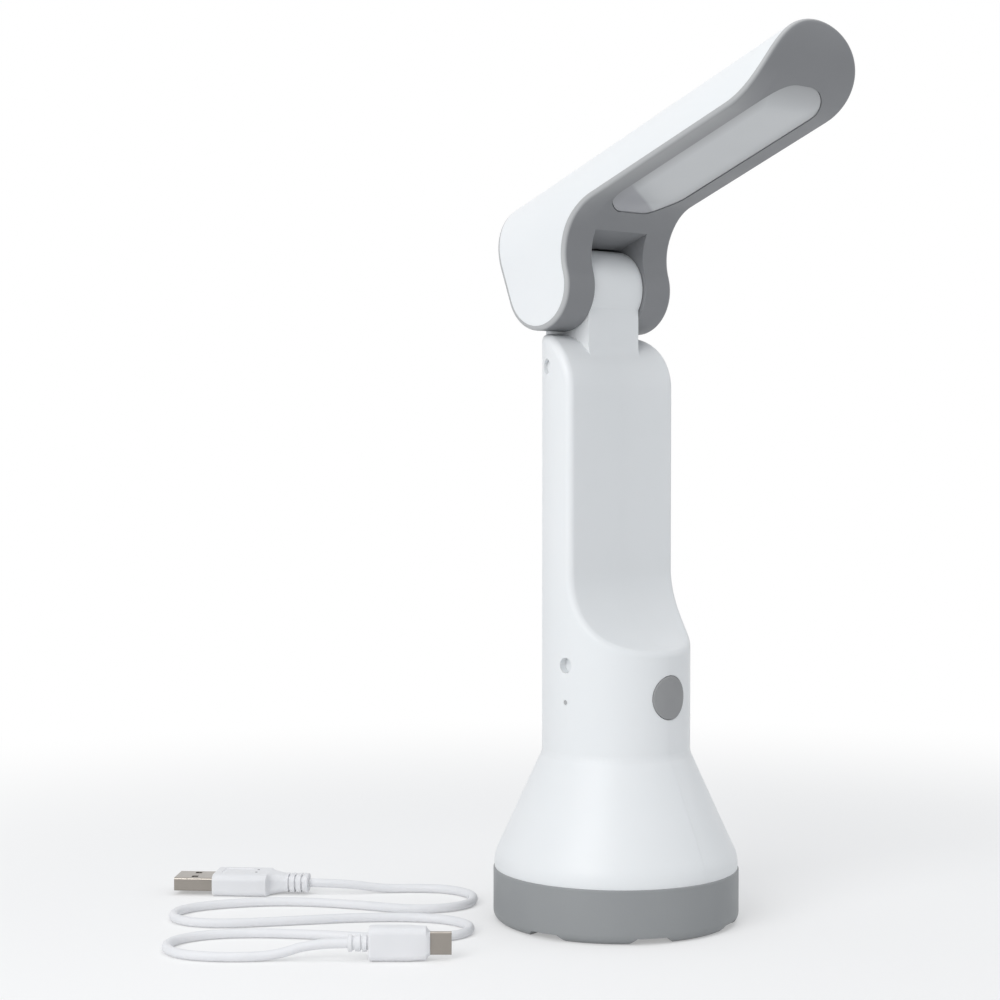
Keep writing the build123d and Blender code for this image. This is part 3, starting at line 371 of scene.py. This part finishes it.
finishes = {
    "greenBoard": {"tone": (0.03, 0.16, 0.07), "toneTwo": (0.025, 0.13, 0.06), "roughness": (0.3, 0.4)},
    "whiteBoard": {"tone": (0.78, 0.79, 0.78), "toneTwo": (0.74, 0.75, 0.74), "roughness": (0.35, 0.45)},
    "blackPlastic": {"tone": (0.02, 0.02, 0.022), "toneTwo": (0.028, 0.028, 0.03), "roughness": (0.4, 0.55)},
    "cellWrap": {"tone": (0.05, 0.16, 0.32), "toneTwo": (0.045, 0.14, 0.29), "roughness": (0.2, 0.3)},
    "sealRubber": {"tone": (0.02, 0.02, 0.02), "toneTwo": (0.03, 0.03, 0.03), "roughness": (0.6, 0.75)},
    "leadRed": {"tone": (0.45, 0.02, 0.015), "toneTwo": (0.4, 0.02, 0.015), "roughness": (0.35, 0.45)},
    "innerWhite": {"tone": (0.85, 0.85, 0.85), "toneTwo": (0.82, 0.82, 0.82), "roughness": (0.5, 0.6)},
    "ledPhosphor": {"tone": (0.80, 0.62, 0.12), "toneTwo": (0.76, 0.57, 0.10), "roughness": (0.3, 0.4)},
    "whiteCoat": {"tone": (0.80, 0.81, 0.82), "toneTwo": (0.77, 0.78, 0.79), "roughness": (0.4, 0.5)},
}
finishUse = {
    "greenBoard": ["main_board"],
    "whiteBoard": ["torch_led_board", "lamp_led_board"],
    "blackPlastic": ["board_components", "tact_switch", "switch_plunger", "battery_cradle"],
    "cellWrap": ["battery_cell"],
    "sealRubber": ["lens_seal"],
    "leadRed": ["battery_leads", "torch_leads", "lamp_lead_lower", "lamp_lead_upper"],
    "innerWhite": ["light_box"],
    "ledPhosphor": ["torch_led", "lamp_leds", "indicator_led"],
    "whiteCoat": ["body_screws"],
}
commonFinish = {
    "patchScale": 150.0, "glossScale": 200.0, "grainScale": 3000.0, "grainDepth": 0.00001,
    "flowScale": 120.0, "flowDepth": 0.00002, "ior": 1.48, "specular": 0.45,
}
for finishName, finish in finishes.items():
    dress(finishUse[finishName], mouldedPlastic(finishName, {**commonFinish, **finish}))

metals = {
    "platedSteel": {"tone": (0.42, 0.41, 0.40), "toneTwo": (0.36, 0.35, 0.34), "roughness": (0.28, 0.42),
                    "streak": (1.0, 1.0, 1.0), "streakScale": 900.0, "streakDepth": 0.000006,
                    "patchScale": 400.0},
    "nickelShell": {"tone": (0.36, 0.33, 0.30), "toneTwo": (0.33, 0.305, 0.275), "roughness": (0.28, 0.34),
                    "streak": (1.0, 1.0, 12.0), "streakScale": 300.0, "streakDepth": 0.000001,
                    "patchScale": 90.0},
    "mirrorMetal": {"tone": (0.88, 0.88, 0.88), "toneTwo": (0.85, 0.85, 0.86), "roughness": (0.04, 0.09),
                    "streak": (1.0, 1.0, 1.0), "streakScale": 260.0, "streakDepth": 0.00003,
                    "patchScale": 60.0},
    "turnedAlloy": {"tone": (0.58, 0.59, 0.60), "toneTwo": (0.54, 0.55, 0.56), "roughness": (0.3, 0.42),
                    "streak": (1.0, 1.0, 30.0), "streakScale": 120.0, "streakDepth": 0.00001,
                    "patchScale": 90.0},
}
metalUse = {
    "platedSteel": ["head_screws", "hinge_pin", "hinge_washer", "hinge_spring", "hinge_nut"],
    "nickelShell": ["usb_socket", "battery_contacts"],
    "mirrorMetal": ["torch_reflector"],
    "turnedAlloy": ["torch_heat_sink"],
}
metalMade = {name: brushedMetal(name, look) for name, look in metals.items()}
for name, material in metalMade.items():
    dress(metalUse[name], material)

glass = {
    "tone": (0.95, 0.97, 0.98), "glossScale": 90.0, "roughness": (0.02, 0.05),
    "waveScale": 150.0, "waveDepth": 0.000005, "ior": 1.49,
}


def clearPlastic(look):
    material, tree, shader = newMaterial("clearPlastic")
    point = objectPoint(tree)
    gloss = noise(tree, point, look["glossScale"], noiseShape["patchDetail"])
    tree.links.new(spread(tree, gloss, *look["roughness"]), shader.inputs["Roughness"])
    addBump(tree, shader, noise(tree, point, look["waveScale"]), look["waveDepth"])
    shader.inputs["Base Color"].default_value = (*look["tone"], 1.0)
    shader.inputs["Transmission Weight"].default_value = 1.0
    shader.inputs["IOR"].default_value = look["ior"]
    return material


dress(["torch_lens"], clearPlastic(glass))
pipeLook = {"tone": (0.44, 0.445, 0.45), "toneTwo": (0.41, 0.415, 0.42), "roughness": (0.2, 0.3)}
dress(["light_pipe"], mouldedPlastic("frostedPipe", {**commonFinish, **pipeLook}))
print("inner pieces finished")


# Charging cable: one smooth line led by the route that the solid follows

cable = {
    "viewAngle": 44.1,
    "cornerRight": -0.150,
    "cornerAway": 0.0346,
    "radius": 0.0015,
    "roundSteps": 6,
    "order": 3,
    "lineSteps": 12,
    "length": 0.468,
    "route": [
        (0.0455, 0.0023, 0.0038), (0.0580, 0.0029, 0.0038), (0.0710, 0.0004, 0.0015),
        (0.0830, -0.0010, 0.0015), (0.0945, 0.0007, 0.0015), (0.1026, 0.0094, 0.0015),
        (0.1026, 0.0224, 0.0015), (0.0942, 0.0302, 0.0015), (0.0818, 0.0322, 0.0015),
        (0.0620, 0.0247, 0.0015), (0.0390, 0.0205, 0.0015), (0.0180, 0.0260, 0.0015),
        (0.0066, 0.0341, 0.0015), (0.0054, 0.0455, 0.0015), (0.0130, 0.0530, 0.0015),
        (0.0253, 0.0543, 0.0015), (0.0460, 0.0494, 0.0015), (0.0670, 0.0442, 0.0015),
        (0.0838, 0.0432, 0.0015), (0.0961, 0.0464, 0.0015), (0.1033, 0.0542, 0.0015),
        (0.1033, 0.0640, 0.0015), (0.0955, 0.0711, 0.0015), (0.0818, 0.0734, 0.0015),
        (0.0600, 0.0690, 0.0015), (0.0370, 0.0662, 0.0015), (0.0211, 0.0692, 0.0015),
        (0.0120, 0.0770, 0.0015), (0.0110, 0.0873, 0.0015), (0.0179, 0.0955, 0.0015),
        (0.0310, 0.0981, 0.0015), (0.0460, 0.0963, 0.0015), (0.0570, 0.0949, 0.0052),
        (0.0682, 0.0945, 0.0052),
    ],
}


def floorPoint(plan):
    a, b, z = plan
    turn = math.radians(cable["viewAngle"])
    right = cable["cornerRight"] + a
    away = cable["cornerAway"] - b
    return Vector((right * math.cos(turn) + away * math.sin(turn),
                   away * math.cos(turn) - right * math.sin(turn), z))


cableLook = {
    "tone": (0.80, 0.80, 0.815), "toneTwo": (0.77, 0.775, 0.79), "patchScale": 60.0,
    "glossScale": 150.0, "roughness": (0.42, 0.52),
    "grainScale": 2800.0, "grainDepth": 0.00001, "flowScale": 90.0, "flowDepth": 0.00003,
    "ior": 1.5, "specular": 0.4, "subsurface": 0.15, "subsurfaceScale": 0.001,
}
cablePlastic = mouldedPlastic("softCableJacket", cableLook)


def addCable():
    data = bpy.data.curves.new("chargingCable", "CURVE")
    data.dimensions = "3D"
    data.bevel_depth = cable["radius"]
    data.bevel_resolution = cable["roundSteps"]
    data.use_fill_caps = True
    spline = data.splines.new("NURBS")
    route = [floorPoint(p) for p in cable["route"]]
    spline.points.add(len(route) - 1)
    for knot, place in zip(spline.points, route):
        knot.co = (*place, 1.0)
    spline.order_u = cable["order"]
    spline.use_endpoint_u = True
    spline.resolution_u = cable["lineSteps"]
    data.materials.append(cablePlastic)
    piece = bpy.data.objects.new("chargingCable", data)
    bpy.context.scene.collection.objects.link(piece)
    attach(piece, "base")
    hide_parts("charging_cable")
    return piece


cablePiece = addCable()
print("cable laid")


# Modelling helpers: plugs are modelled along +X from the cable's end, with Z up

meshing = {
    "mergeDistance": 0.002 * mm, "smoothAngle": 35.0,   # degrees, past which an edge stays sharp
    "cornerSteps": 6, "endSteps": 3, "leastCorner": 0.05,
}


def finishPiece(name, bm, material, replaced=(), place=None):
    if place is not None:
        bmesh.ops.transform(bm, matrix=place, verts=bm.verts)
    bmesh.ops.remove_doubles(bm, verts=bm.verts, dist=meshing["mergeDistance"])
    bmesh.ops.recalc_face_normals(bm, faces=bm.faces)
    limit = math.radians(meshing["smoothAngle"])
    for face in bm.faces:
        face.smooth = True
    for edge in bm.edges:
        edge.smooth = len(edge.link_faces) == 2 and edge.calc_face_angle(0.0) < limit
    mesh = bpy.data.meshes.new(name)
    bm.to_mesh(mesh)
    bm.free()
    mesh.materials.append(material)
    piece = bpy.data.objects.new(name, mesh)
    bpy.context.scene.collection.objects.link(piece)
    weighted = piece.modifiers.new("flatFaces", "WEIGHTED_NORMAL")
    weighted.keep_sharp = True
    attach(piece, "base")
    if replaced:
        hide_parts(*replaced)
    return piece


def plugPlace(inner, outer):
    # From millimetres along a plug to its place on the floor
    end = floorPoint(cable["route"][outer])
    along = end - floorPoint(cable["route"][inner])
    along.z = 0.0
    along.normalize()
    up = Vector((0.0, 0.0, 1.0))
    turn = Matrix((along, up.cross(along), up)).transposed().to_4x4()
    return Matrix.Translation(end) @ turn @ Matrix.Scale(mm, 4)


def addRing(bm, x, width, height, corner, marks=()):
    # Closed ring square to X: a rectangle with round corners, and marks (y, sunk) on its long edges
    places = []
    steps = meshing["cornerSteps"]
    for quarter, (toY, toZ) in enumerate(((1, 1), (-1, 1), (-1, -1), (1, -1))):
        for step in range(steps + 1):
            angle = math.radians(90.0 * (quarter + step / steps))
            y = toY * (width / 2 - corner) + corner * math.cos(angle)
            z = toZ * (height / 2 - corner) + corner * math.sin(angle)
            places.append((y, z))
        if quarter in (0, 2):
            for y, sunk in marks:
                places.append((toY * y, toZ * (height / 2 - sunk)))
    ring = [bm.verts.new((x, y, z)) for y, z in places]
    return [bm.edges.new((ring[i - 1], ring[i])) for i in range(len(ring))]


def loft(bm, rings, marks=(), closed=True):
    # Skin over rings, each (x, width, height, corner), with its own marks after these or the common ones
    loops = [addRing(bm, *ring[:4], ring[4] if len(ring) > 4 else marks) for ring in rings]
    for first, second in zip(loops, loops[1:]):
        bmesh.ops.bridge_loops(bm, edges=first + second)
    if closed:
        bmesh.ops.contextual_create(bm, geom=loops[0])
        bmesh.ops.contextual_create(bm, geom=loops[-1])


def roundedEnd(x, width, height, corner, edge, way):
    # Rings of a rounded end that reaches x, listed along X; way is 1 at the far end and -1 at the near one
    rings = []
    for step in range(meshing["endSteps"] + 1):
        angle = math.radians(90.0 * step / meshing["endSteps"])
        shrink = 2 * edge * (1 - math.cos(angle))
        place = x - way * edge * (1 - math.sin(angle))
        rounding = max(corner - shrink / 2, meshing["leastCorner"])
        rings.append((place, width - shrink, height - shrink, rounding))
    return rings[::way]


print("helpers ready")


# Floor and light

floorLook = {"tone": (0.93, 0.93, 0.93), "glow": 0.35, "near": 0.16, "far": 0.5, "half": 4.0}


def seenWhite(tree):
    # 1 for rays from the camera, from gloss and through clear plastic, 0 for light on the object
    path = addNode(tree, "ShaderNodeLightPath")
    seen = sums(tree, "MAXIMUM", path.outputs["Is Camera Ray"], path.outputs["Is Glossy Ray"])
    return sums(tree, "MAXIMUM", seen, path.outputs["Is Transmission Ray"])


def addFloor():
    bm = bmesh.new()
    bmesh.ops.create_grid(bm, x_segments=2, y_segments=2, size=floorLook["half"])
    mesh = bpy.data.meshes.new("floor")
    bm.to_mesh(mesh)
    bm.free()
    material = bpy.data.materials.new("paleFloor")
    material.use_nodes = True
    tree = material.node_tree
    tree.nodes.clear()
    output = tree.nodes.new("ShaderNodeOutputMaterial")
    matte = addNode(tree, "ShaderNodeBsdfDiffuse", {"Color": (*floorLook["tone"], 1.0)})
    glow = addNode(tree, "ShaderNodeEmission", {"Color": (1.0, 1.0, 1.0, 1.0), "Strength": 1.0})
    length = addNode(tree, "ShaderNodeVectorMath", operation="LENGTH")
    tree.links.new(objectPoint(tree), length.inputs[0])
    fade = addNode(tree, "ShaderNodeMapRange", {
        "From Min": floorLook["near"], "From Max": floorLook["far"],
        "To Min": floorLook["glow"], "To Max": 1.0},
        interpolation_type="SMOOTHSTEP")
    tree.links.new(length.outputs["Value"], fade.inputs["Value"])
    share = sums(tree, "MULTIPLY", fade.outputs["Result"], seenWhite(tree))
    mix = addNode(tree, "ShaderNodeMixShader")
    tree.links.new(share, mix.inputs[0])
    tree.links.new(matte.outputs["BSDF"], mix.inputs[1])
    tree.links.new(glow.outputs["Emission"], mix.inputs[2])
    tree.links.new(mix.outputs["Shader"], output.inputs["Surface"])
    mesh.materials.append(material)
    floor = bpy.data.objects.new("floor", mesh)
    bpy.context.scene.collection.objects.link(floor)


skyLook = {"light": (0.93, 0.96, 1.0), "strength": 0.46}


def addSky():
    world = bpy.data.worlds.new("studio")
    bpy.context.scene.world = world
    world.use_nodes = True
    tree = world.node_tree
    tree.nodes.clear()
    output = tree.nodes.new("ShaderNodeOutputWorld")
    light = addNode(tree, "ShaderNodeBackground", {
        "Color": (*skyLook["light"], 1.0), "Strength": skyLook["strength"]})
    white = addNode(tree, "ShaderNodeBackground", {"Color": (1.0, 1.0, 1.0, 1.0), "Strength": 1.0})
    mix = addNode(tree, "ShaderNodeMixShader")
    tree.links.new(seenWhite(tree), mix.inputs[0])
    tree.links.new(light.outputs["Background"], mix.inputs[1])
    tree.links.new(white.outputs["Background"], mix.inputs[2])
    tree.links.new(mix.outputs["Shader"], output.inputs["Surface"])


lamps = [
    {"name": "keyLamp", "place": (-1.1, -0.25, 0.75), "aim": (0.0, 0.0, 0.15), "size": 0.9, "power": 8.2,
     "tone": (1.0, 1.0, 1.0)},
    {"name": "topLamp", "place": (0.1, -0.1, 1.4), "aim": (0.0, 0.0, 0.1), "size": 1.0, "power": 4.8,
     "tone": (1.0, 1.0, 1.0)},
    {"name": "rightLamp", "place": (0.9, -0.7, 0.5), "aim": (0.0, 0.0, 0.12), "size": 0.9, "power": 0.9,
     "tone": (0.96, 0.98, 1.0)},
]


def addLamps():
    for lamp in lamps:
        data = bpy.data.lights.new(lamp["name"], "AREA")
        data.shape = "DISK"
        data.size = lamp["size"]
        data.energy = lamp["power"]
        data.color = lamp["tone"]
        light = bpy.data.objects.new(lamp["name"], data)
        light.location = lamp["place"]
        aim = Vector(lamp["aim"]) - Vector(lamp["place"])
        light.rotation_euler = aim.to_track_quat("-Z", "Y").to_euler()
        bpy.context.scene.collection.objects.link(light)


addFloor()
addSky()
addLamps()
bpy.context.scene.view_settings.view_transform = "Standard"
print("floor and light set")


# Plugs that close the two screw holes in the left shell; sizes in millimetres

screwPlug = {
    "places": ((-1.1, 84.4), (9.7, 179.8)),     # y and z
    "barrelRadius": 24.15, "radius": 2.45, "length": 1.5, "sunk": 2.5, "segments": 32,
}


def addScrewPlugs():
    bm = bmesh.new()
    radius, length = screwPlug["radius"], screwPlug["length"]
    for y, z in screwPlug["places"]:
        surface = -math.sqrt(screwPlug["barrelRadius"] ** 2 - y ** 2)
        middle = Matrix.Translation((surface + screwPlug["sunk"] + length / 2, y, z))
        place = middle @ Matrix.Rotation(math.pi / 2, 4, "Y")
        bmesh.ops.create_cone(bm, cap_ends=True, segments=screwPlug["segments"], radius1=radius,
                              radius2=radius, depth=length, matrix=place)
    finishPiece("screwPlugs", bm, whitePlastic, (), Matrix.Scale(mm, 4))


addScrewPlugs()
print("screw plugs made")


# Broad plug, lying flat; sizes in millimetres along the plug from the end of the cable

broad = {
    "reliefLength": 8.2, "reliefWidth": 8.0, "reliefHeight": 6.0, "reliefEdge": 0.35,
    "slots": (2.1, 4.3, 6.5), "slotWidth": 0.6, "slotDepth": 0.6, "web": 0.35, "webFlank": 0.03,
    "taper": 5.4, "taperSteps": 8, "shoulder": 0.5, "shoulderAngles": (30, 60, 90),
    "width": 16.0, "height": 7.6, "corner": 2.4, "length": 18.8, "edge": 0.5,
    "panelGap": 2.4, "panelLength": 10.5, "panelWidth": 8.5, "panelBorder": 0.15, "panelCorner": 1.5,
    "panelFlank": 0.3, "panelDepth": 0.25, "panelSteps": 5,
    "dotGap": 14.4, "dotSide": 2.1, "dotRadius": 0.42, "dotHeight": 0.3, "dotProud": 0.02,
    "dotSegments": 24,
    "shellWidth": 12.0, "shellHeight": 4.5, "shellCorner": 0.6, "shellLength": 13.4, "wall": 0.4,
    "root": 4.0, "window": 2.2, "windowSide": 3.1,
}
broadPlace = plugPlace(1, 0)
broadStart = broad["reliefLength"]
broadMouth = broadStart + broad["taper"] + broad["length"]


def addBroadRelief():
    bm = bmesh.new()
    width, height, corner = broad["reliefWidth"], broad["reliefHeight"], broad["corner"]
    depth, web = broad["slotDepth"], broad["web"]
    flank = web + broad["webFlank"]
    level = [(flank, 0.0), (web, 0.0), (-web, 0.0), (-flank, 0.0)]
    ribbed = [(flank, 0.0), (web, -depth), (-web, -depth), (-flank, 0.0)]
    rings = [(*ring, level) for ring in roundedEnd(0.0, width, height, corner, broad["reliefEdge"], -1)]
    for middle in broad["slots"]:
        for side in (-1, 1):
            x = middle + side * broad["slotWidth"] / 2
            full = (x, width, height, corner, level)
            sunk = (x, width - 2 * depth, height - 2 * depth, corner - depth, ribbed)
            rings += [full, sunk][::-side]
    rings.append((broadStart, width, height, corner, level))
    loft(bm, rings)
    return finishPiece("broadRelief", bm, cablePlastic, ["usb_strain_relief"], broadPlace)


def addBroadHousing():
    bm = bmesh.new()
    width, height, corner = broad["width"], broad["height"], broad["corner"]
    rings = []
    for step in range(broad["taperSteps"] + 1):
        share = step / broad["taperSteps"]
        curve = 1 - math.sqrt(1 - share ** 2)
        wide = broad["reliefWidth"] + (width - 2 * broad["shoulder"] - broad["reliefWidth"]) * curve
        high = broad["reliefHeight"] + (height - broad["reliefHeight"]) * share
        rings.append((broadStart + broad["taper"] * share, wide, high, corner))
    neck = broadStart + broad["taper"]
    for angle in broad["shoulderAngles"]:
        grown = 2 * broad["shoulder"] * (1 - math.sin(math.radians(angle)))
        place = neck + broad["shoulder"] * (1 - math.cos(math.radians(angle)))
        rings.append((place, width - grown, height, corner))
    half = broad["panelWidth"] / 2
    panelEnd = broadMouth - broad["panelGap"]
    panelStart = panelEnd - broad["panelLength"]
    marks = [(half, 0.0), (-half, 0.0)]
    rings += [(x, width, height, corner, marks) for x in (panelStart, panelEnd)]
    rings += roundedEnd(broadMouth, width, height, corner, broad["edge"], 1)
    size = (broad["shellWidth"], broad["shellHeight"], broad["shellCorner"])
    rings += [(x, *size) for x in (broadMouth, broadMouth - broad["root"])]
    loft(bm, rings)
    sinkPanel(bm, Vector(((panelStart + panelEnd) / 2, 0.0, height / 2)))
    return finishPiece("broadHousing", bm, cablePlastic, ["usb_plug_housing"], broadPlace)


def faceAt(bm, place):
    return min(bm.faces, key=lambda face: (face.calc_center_median() - place).length)


def sinkPanel(bm, middle):
    # Shallow panel with round corners in the face at the given place
    bmesh.ops.recalc_face_normals(bm, faces=bm.faces)
    panel = faceAt(bm, middle)
    bmesh.ops.inset_region(bm, faces=[panel], thickness=broad["panelBorder"])
    panel = faceAt(bm, middle)
    bmesh.ops.bevel(bm, geom=list(panel.verts), affect="VERTICES", offset=broad["panelCorner"],
                    segments=broad["panelSteps"], profile=0.5, material=-1)
    panel = faceAt(bm, middle)
    bmesh.ops.inset_region(bm, faces=[panel], thickness=broad["panelFlank"], depth=-broad["panelDepth"])


def addBroadDots():
    bm = bmesh.new()
    high = broad["height"] / 2 + broad["dotProud"] - broad["dotHeight"] / 2
    for side in (-1, 1):
        place = Matrix.Translation((broadMouth - broad["dotGap"], side * broad["dotSide"], high))
        bmesh.ops.create_cone(bm, cap_ends=True, segments=broad["dotSegments"], radius1=broad["dotRadius"],
                              radius2=broad["dotRadius"], depth=broad["dotHeight"], matrix=place)
    return finishPiece("broadDots", bm, bpy.data.materials["blackPlastic"], (), broadPlace)


def addBroadShell():
    bm = bmesh.new()
    middle = broadMouth + broad["shellLength"] / 2
    half = broad["window"] / 2
    side = broad["windowSide"]
    marks = [(side + half, 0.0), (side - half, 0.0), (half - side, 0.0), (-side - half, 0.0)]
    size = (broad["shellWidth"], broad["shellHeight"], broad["shellCorner"])
    stops = (broadMouth - broad["root"], middle - half, middle + half, broadMouth + broad["shellLength"])
    loft(bm, [(x, *size) for x in stops], marks, closed=False)
    windows = [faceAt(bm, Vector((middle, y, z))) for y in (-side, side)
               for z in (-size[1] / 2, size[1] / 2)]
    bmesh.ops.delete(bm, geom=windows, context="FACES")
    bmesh.ops.recalc_face_normals(bm, faces=bm.faces)
    bmesh.ops.solidify(bm, geom=list(bm.faces), thickness=broad["wall"])
    return finishPiece("broadShell", bm, metalMade["nickelShell"],
                       ["usb_plug_shell"], broadPlace)


plugPieces = [addBroadRelief(), addBroadHousing(), addBroadDots(), addBroadShell()]
print("broad plug made")


# Small plug, standing on its edge; sizes in millimetres along the plug from the end of the cable

small = {
    "reliefProfile": [
        (0.0, 0.0), (0.0, 2.35), (0.25, 2.6), (1.1, 2.6), (1.35, 2.2), (1.7, 1.95), (2.1, 1.95),
        (2.2, 2.45), (3.7, 2.6), (3.8, 2.0), (4.3, 2.0), (4.4, 2.6), (5.6, 2.65), (5.7, 2.0), (6.3, 2.0),
        (6.3, 0.0),
    ],
    "reliefSegments": 40,
    "start": 6.2, "startEdge": 0.8,
    "width": 7.2, "height": 10.4, "corner": 2.2, "length": 18.5,
    "waist": 12.0, "frontWidth": 6.7, "frontHeight": 9.8, "chamfer": 1.3,
    "shellWidth": 1.9, "shellHeight": 6.9, "shellCorner": 0.45, "shellLength": 6.4, "wall": 0.25,
    "root": 4.0,
}
smallPlace = plugPlace(-2, -1)
smallMouth = small["start"] + small["length"]


def addSmallRelief():
    bm = bmesh.new()
    line = [bm.verts.new((x, 0.0, r)) for x, r in small["reliefProfile"]]
    geom = line + [bm.edges.new(pair) for pair in zip(line, line[1:])]
    bmesh.ops.spin(bm, geom=geom, cent=(0, 0, 0), axis=(1, 0, 0), angle=math.tau,
                   steps=small["reliefSegments"], use_merge=True)
    return finishPiece("smallRelief", bm, cablePlastic, ["micro_strain_relief"], smallPlace)


def addSmallHousing():
    bm = bmesh.new()
    width, height, corner = small["width"], small["height"], small["corner"]
    rings = roundedEnd(small["start"], width, height, corner, small["startEdge"], -1)
    rings.append((small["start"] + small["waist"], width, height, corner))
    front, tall = small["frontWidth"], small["frontHeight"]
    rings.append((smallMouth - small["chamfer"], front, tall, corner))
    rings += roundedEnd(smallMouth, front - small["chamfer"], tall - 2 * small["chamfer"],
                        corner - small["chamfer"] / 2, small["chamfer"] / 3, 1)
    size = (small["shellWidth"], small["shellHeight"], small["shellCorner"])
    rings += [(x, *size) for x in (smallMouth, smallMouth - small["root"])]
    loft(bm, rings)
    return finishPiece("smallHousing", bm, cablePlastic, ["micro_plug_housing"], smallPlace)


def addSmallShell():
    bm = bmesh.new()
    size = (small["shellWidth"], small["shellHeight"], small["shellCorner"])
    loft(bm, [(smallMouth - small["root"], *size), (smallMouth + small["shellLength"], *size)], closed=False)
    bmesh.ops.recalc_face_normals(bm, faces=bm.faces)
    bmesh.ops.solidify(bm, geom=list(bm.faces), thickness=small["wall"])
    return finishPiece("smallShell", bm, metalMade["nickelShell"],
                       ["micro_plug_shell"], smallPlace)


plugPieces += [addSmallRelief(), addSmallHousing(), addSmallShell()]
dress(["usb_plug_insert", "micro_plug_insert"], bpy.data.materials["blackPlastic"])
plugPieces += [nodes["usb_plug_insert"], nodes["micro_plug_insert"]]
print("small plug made")
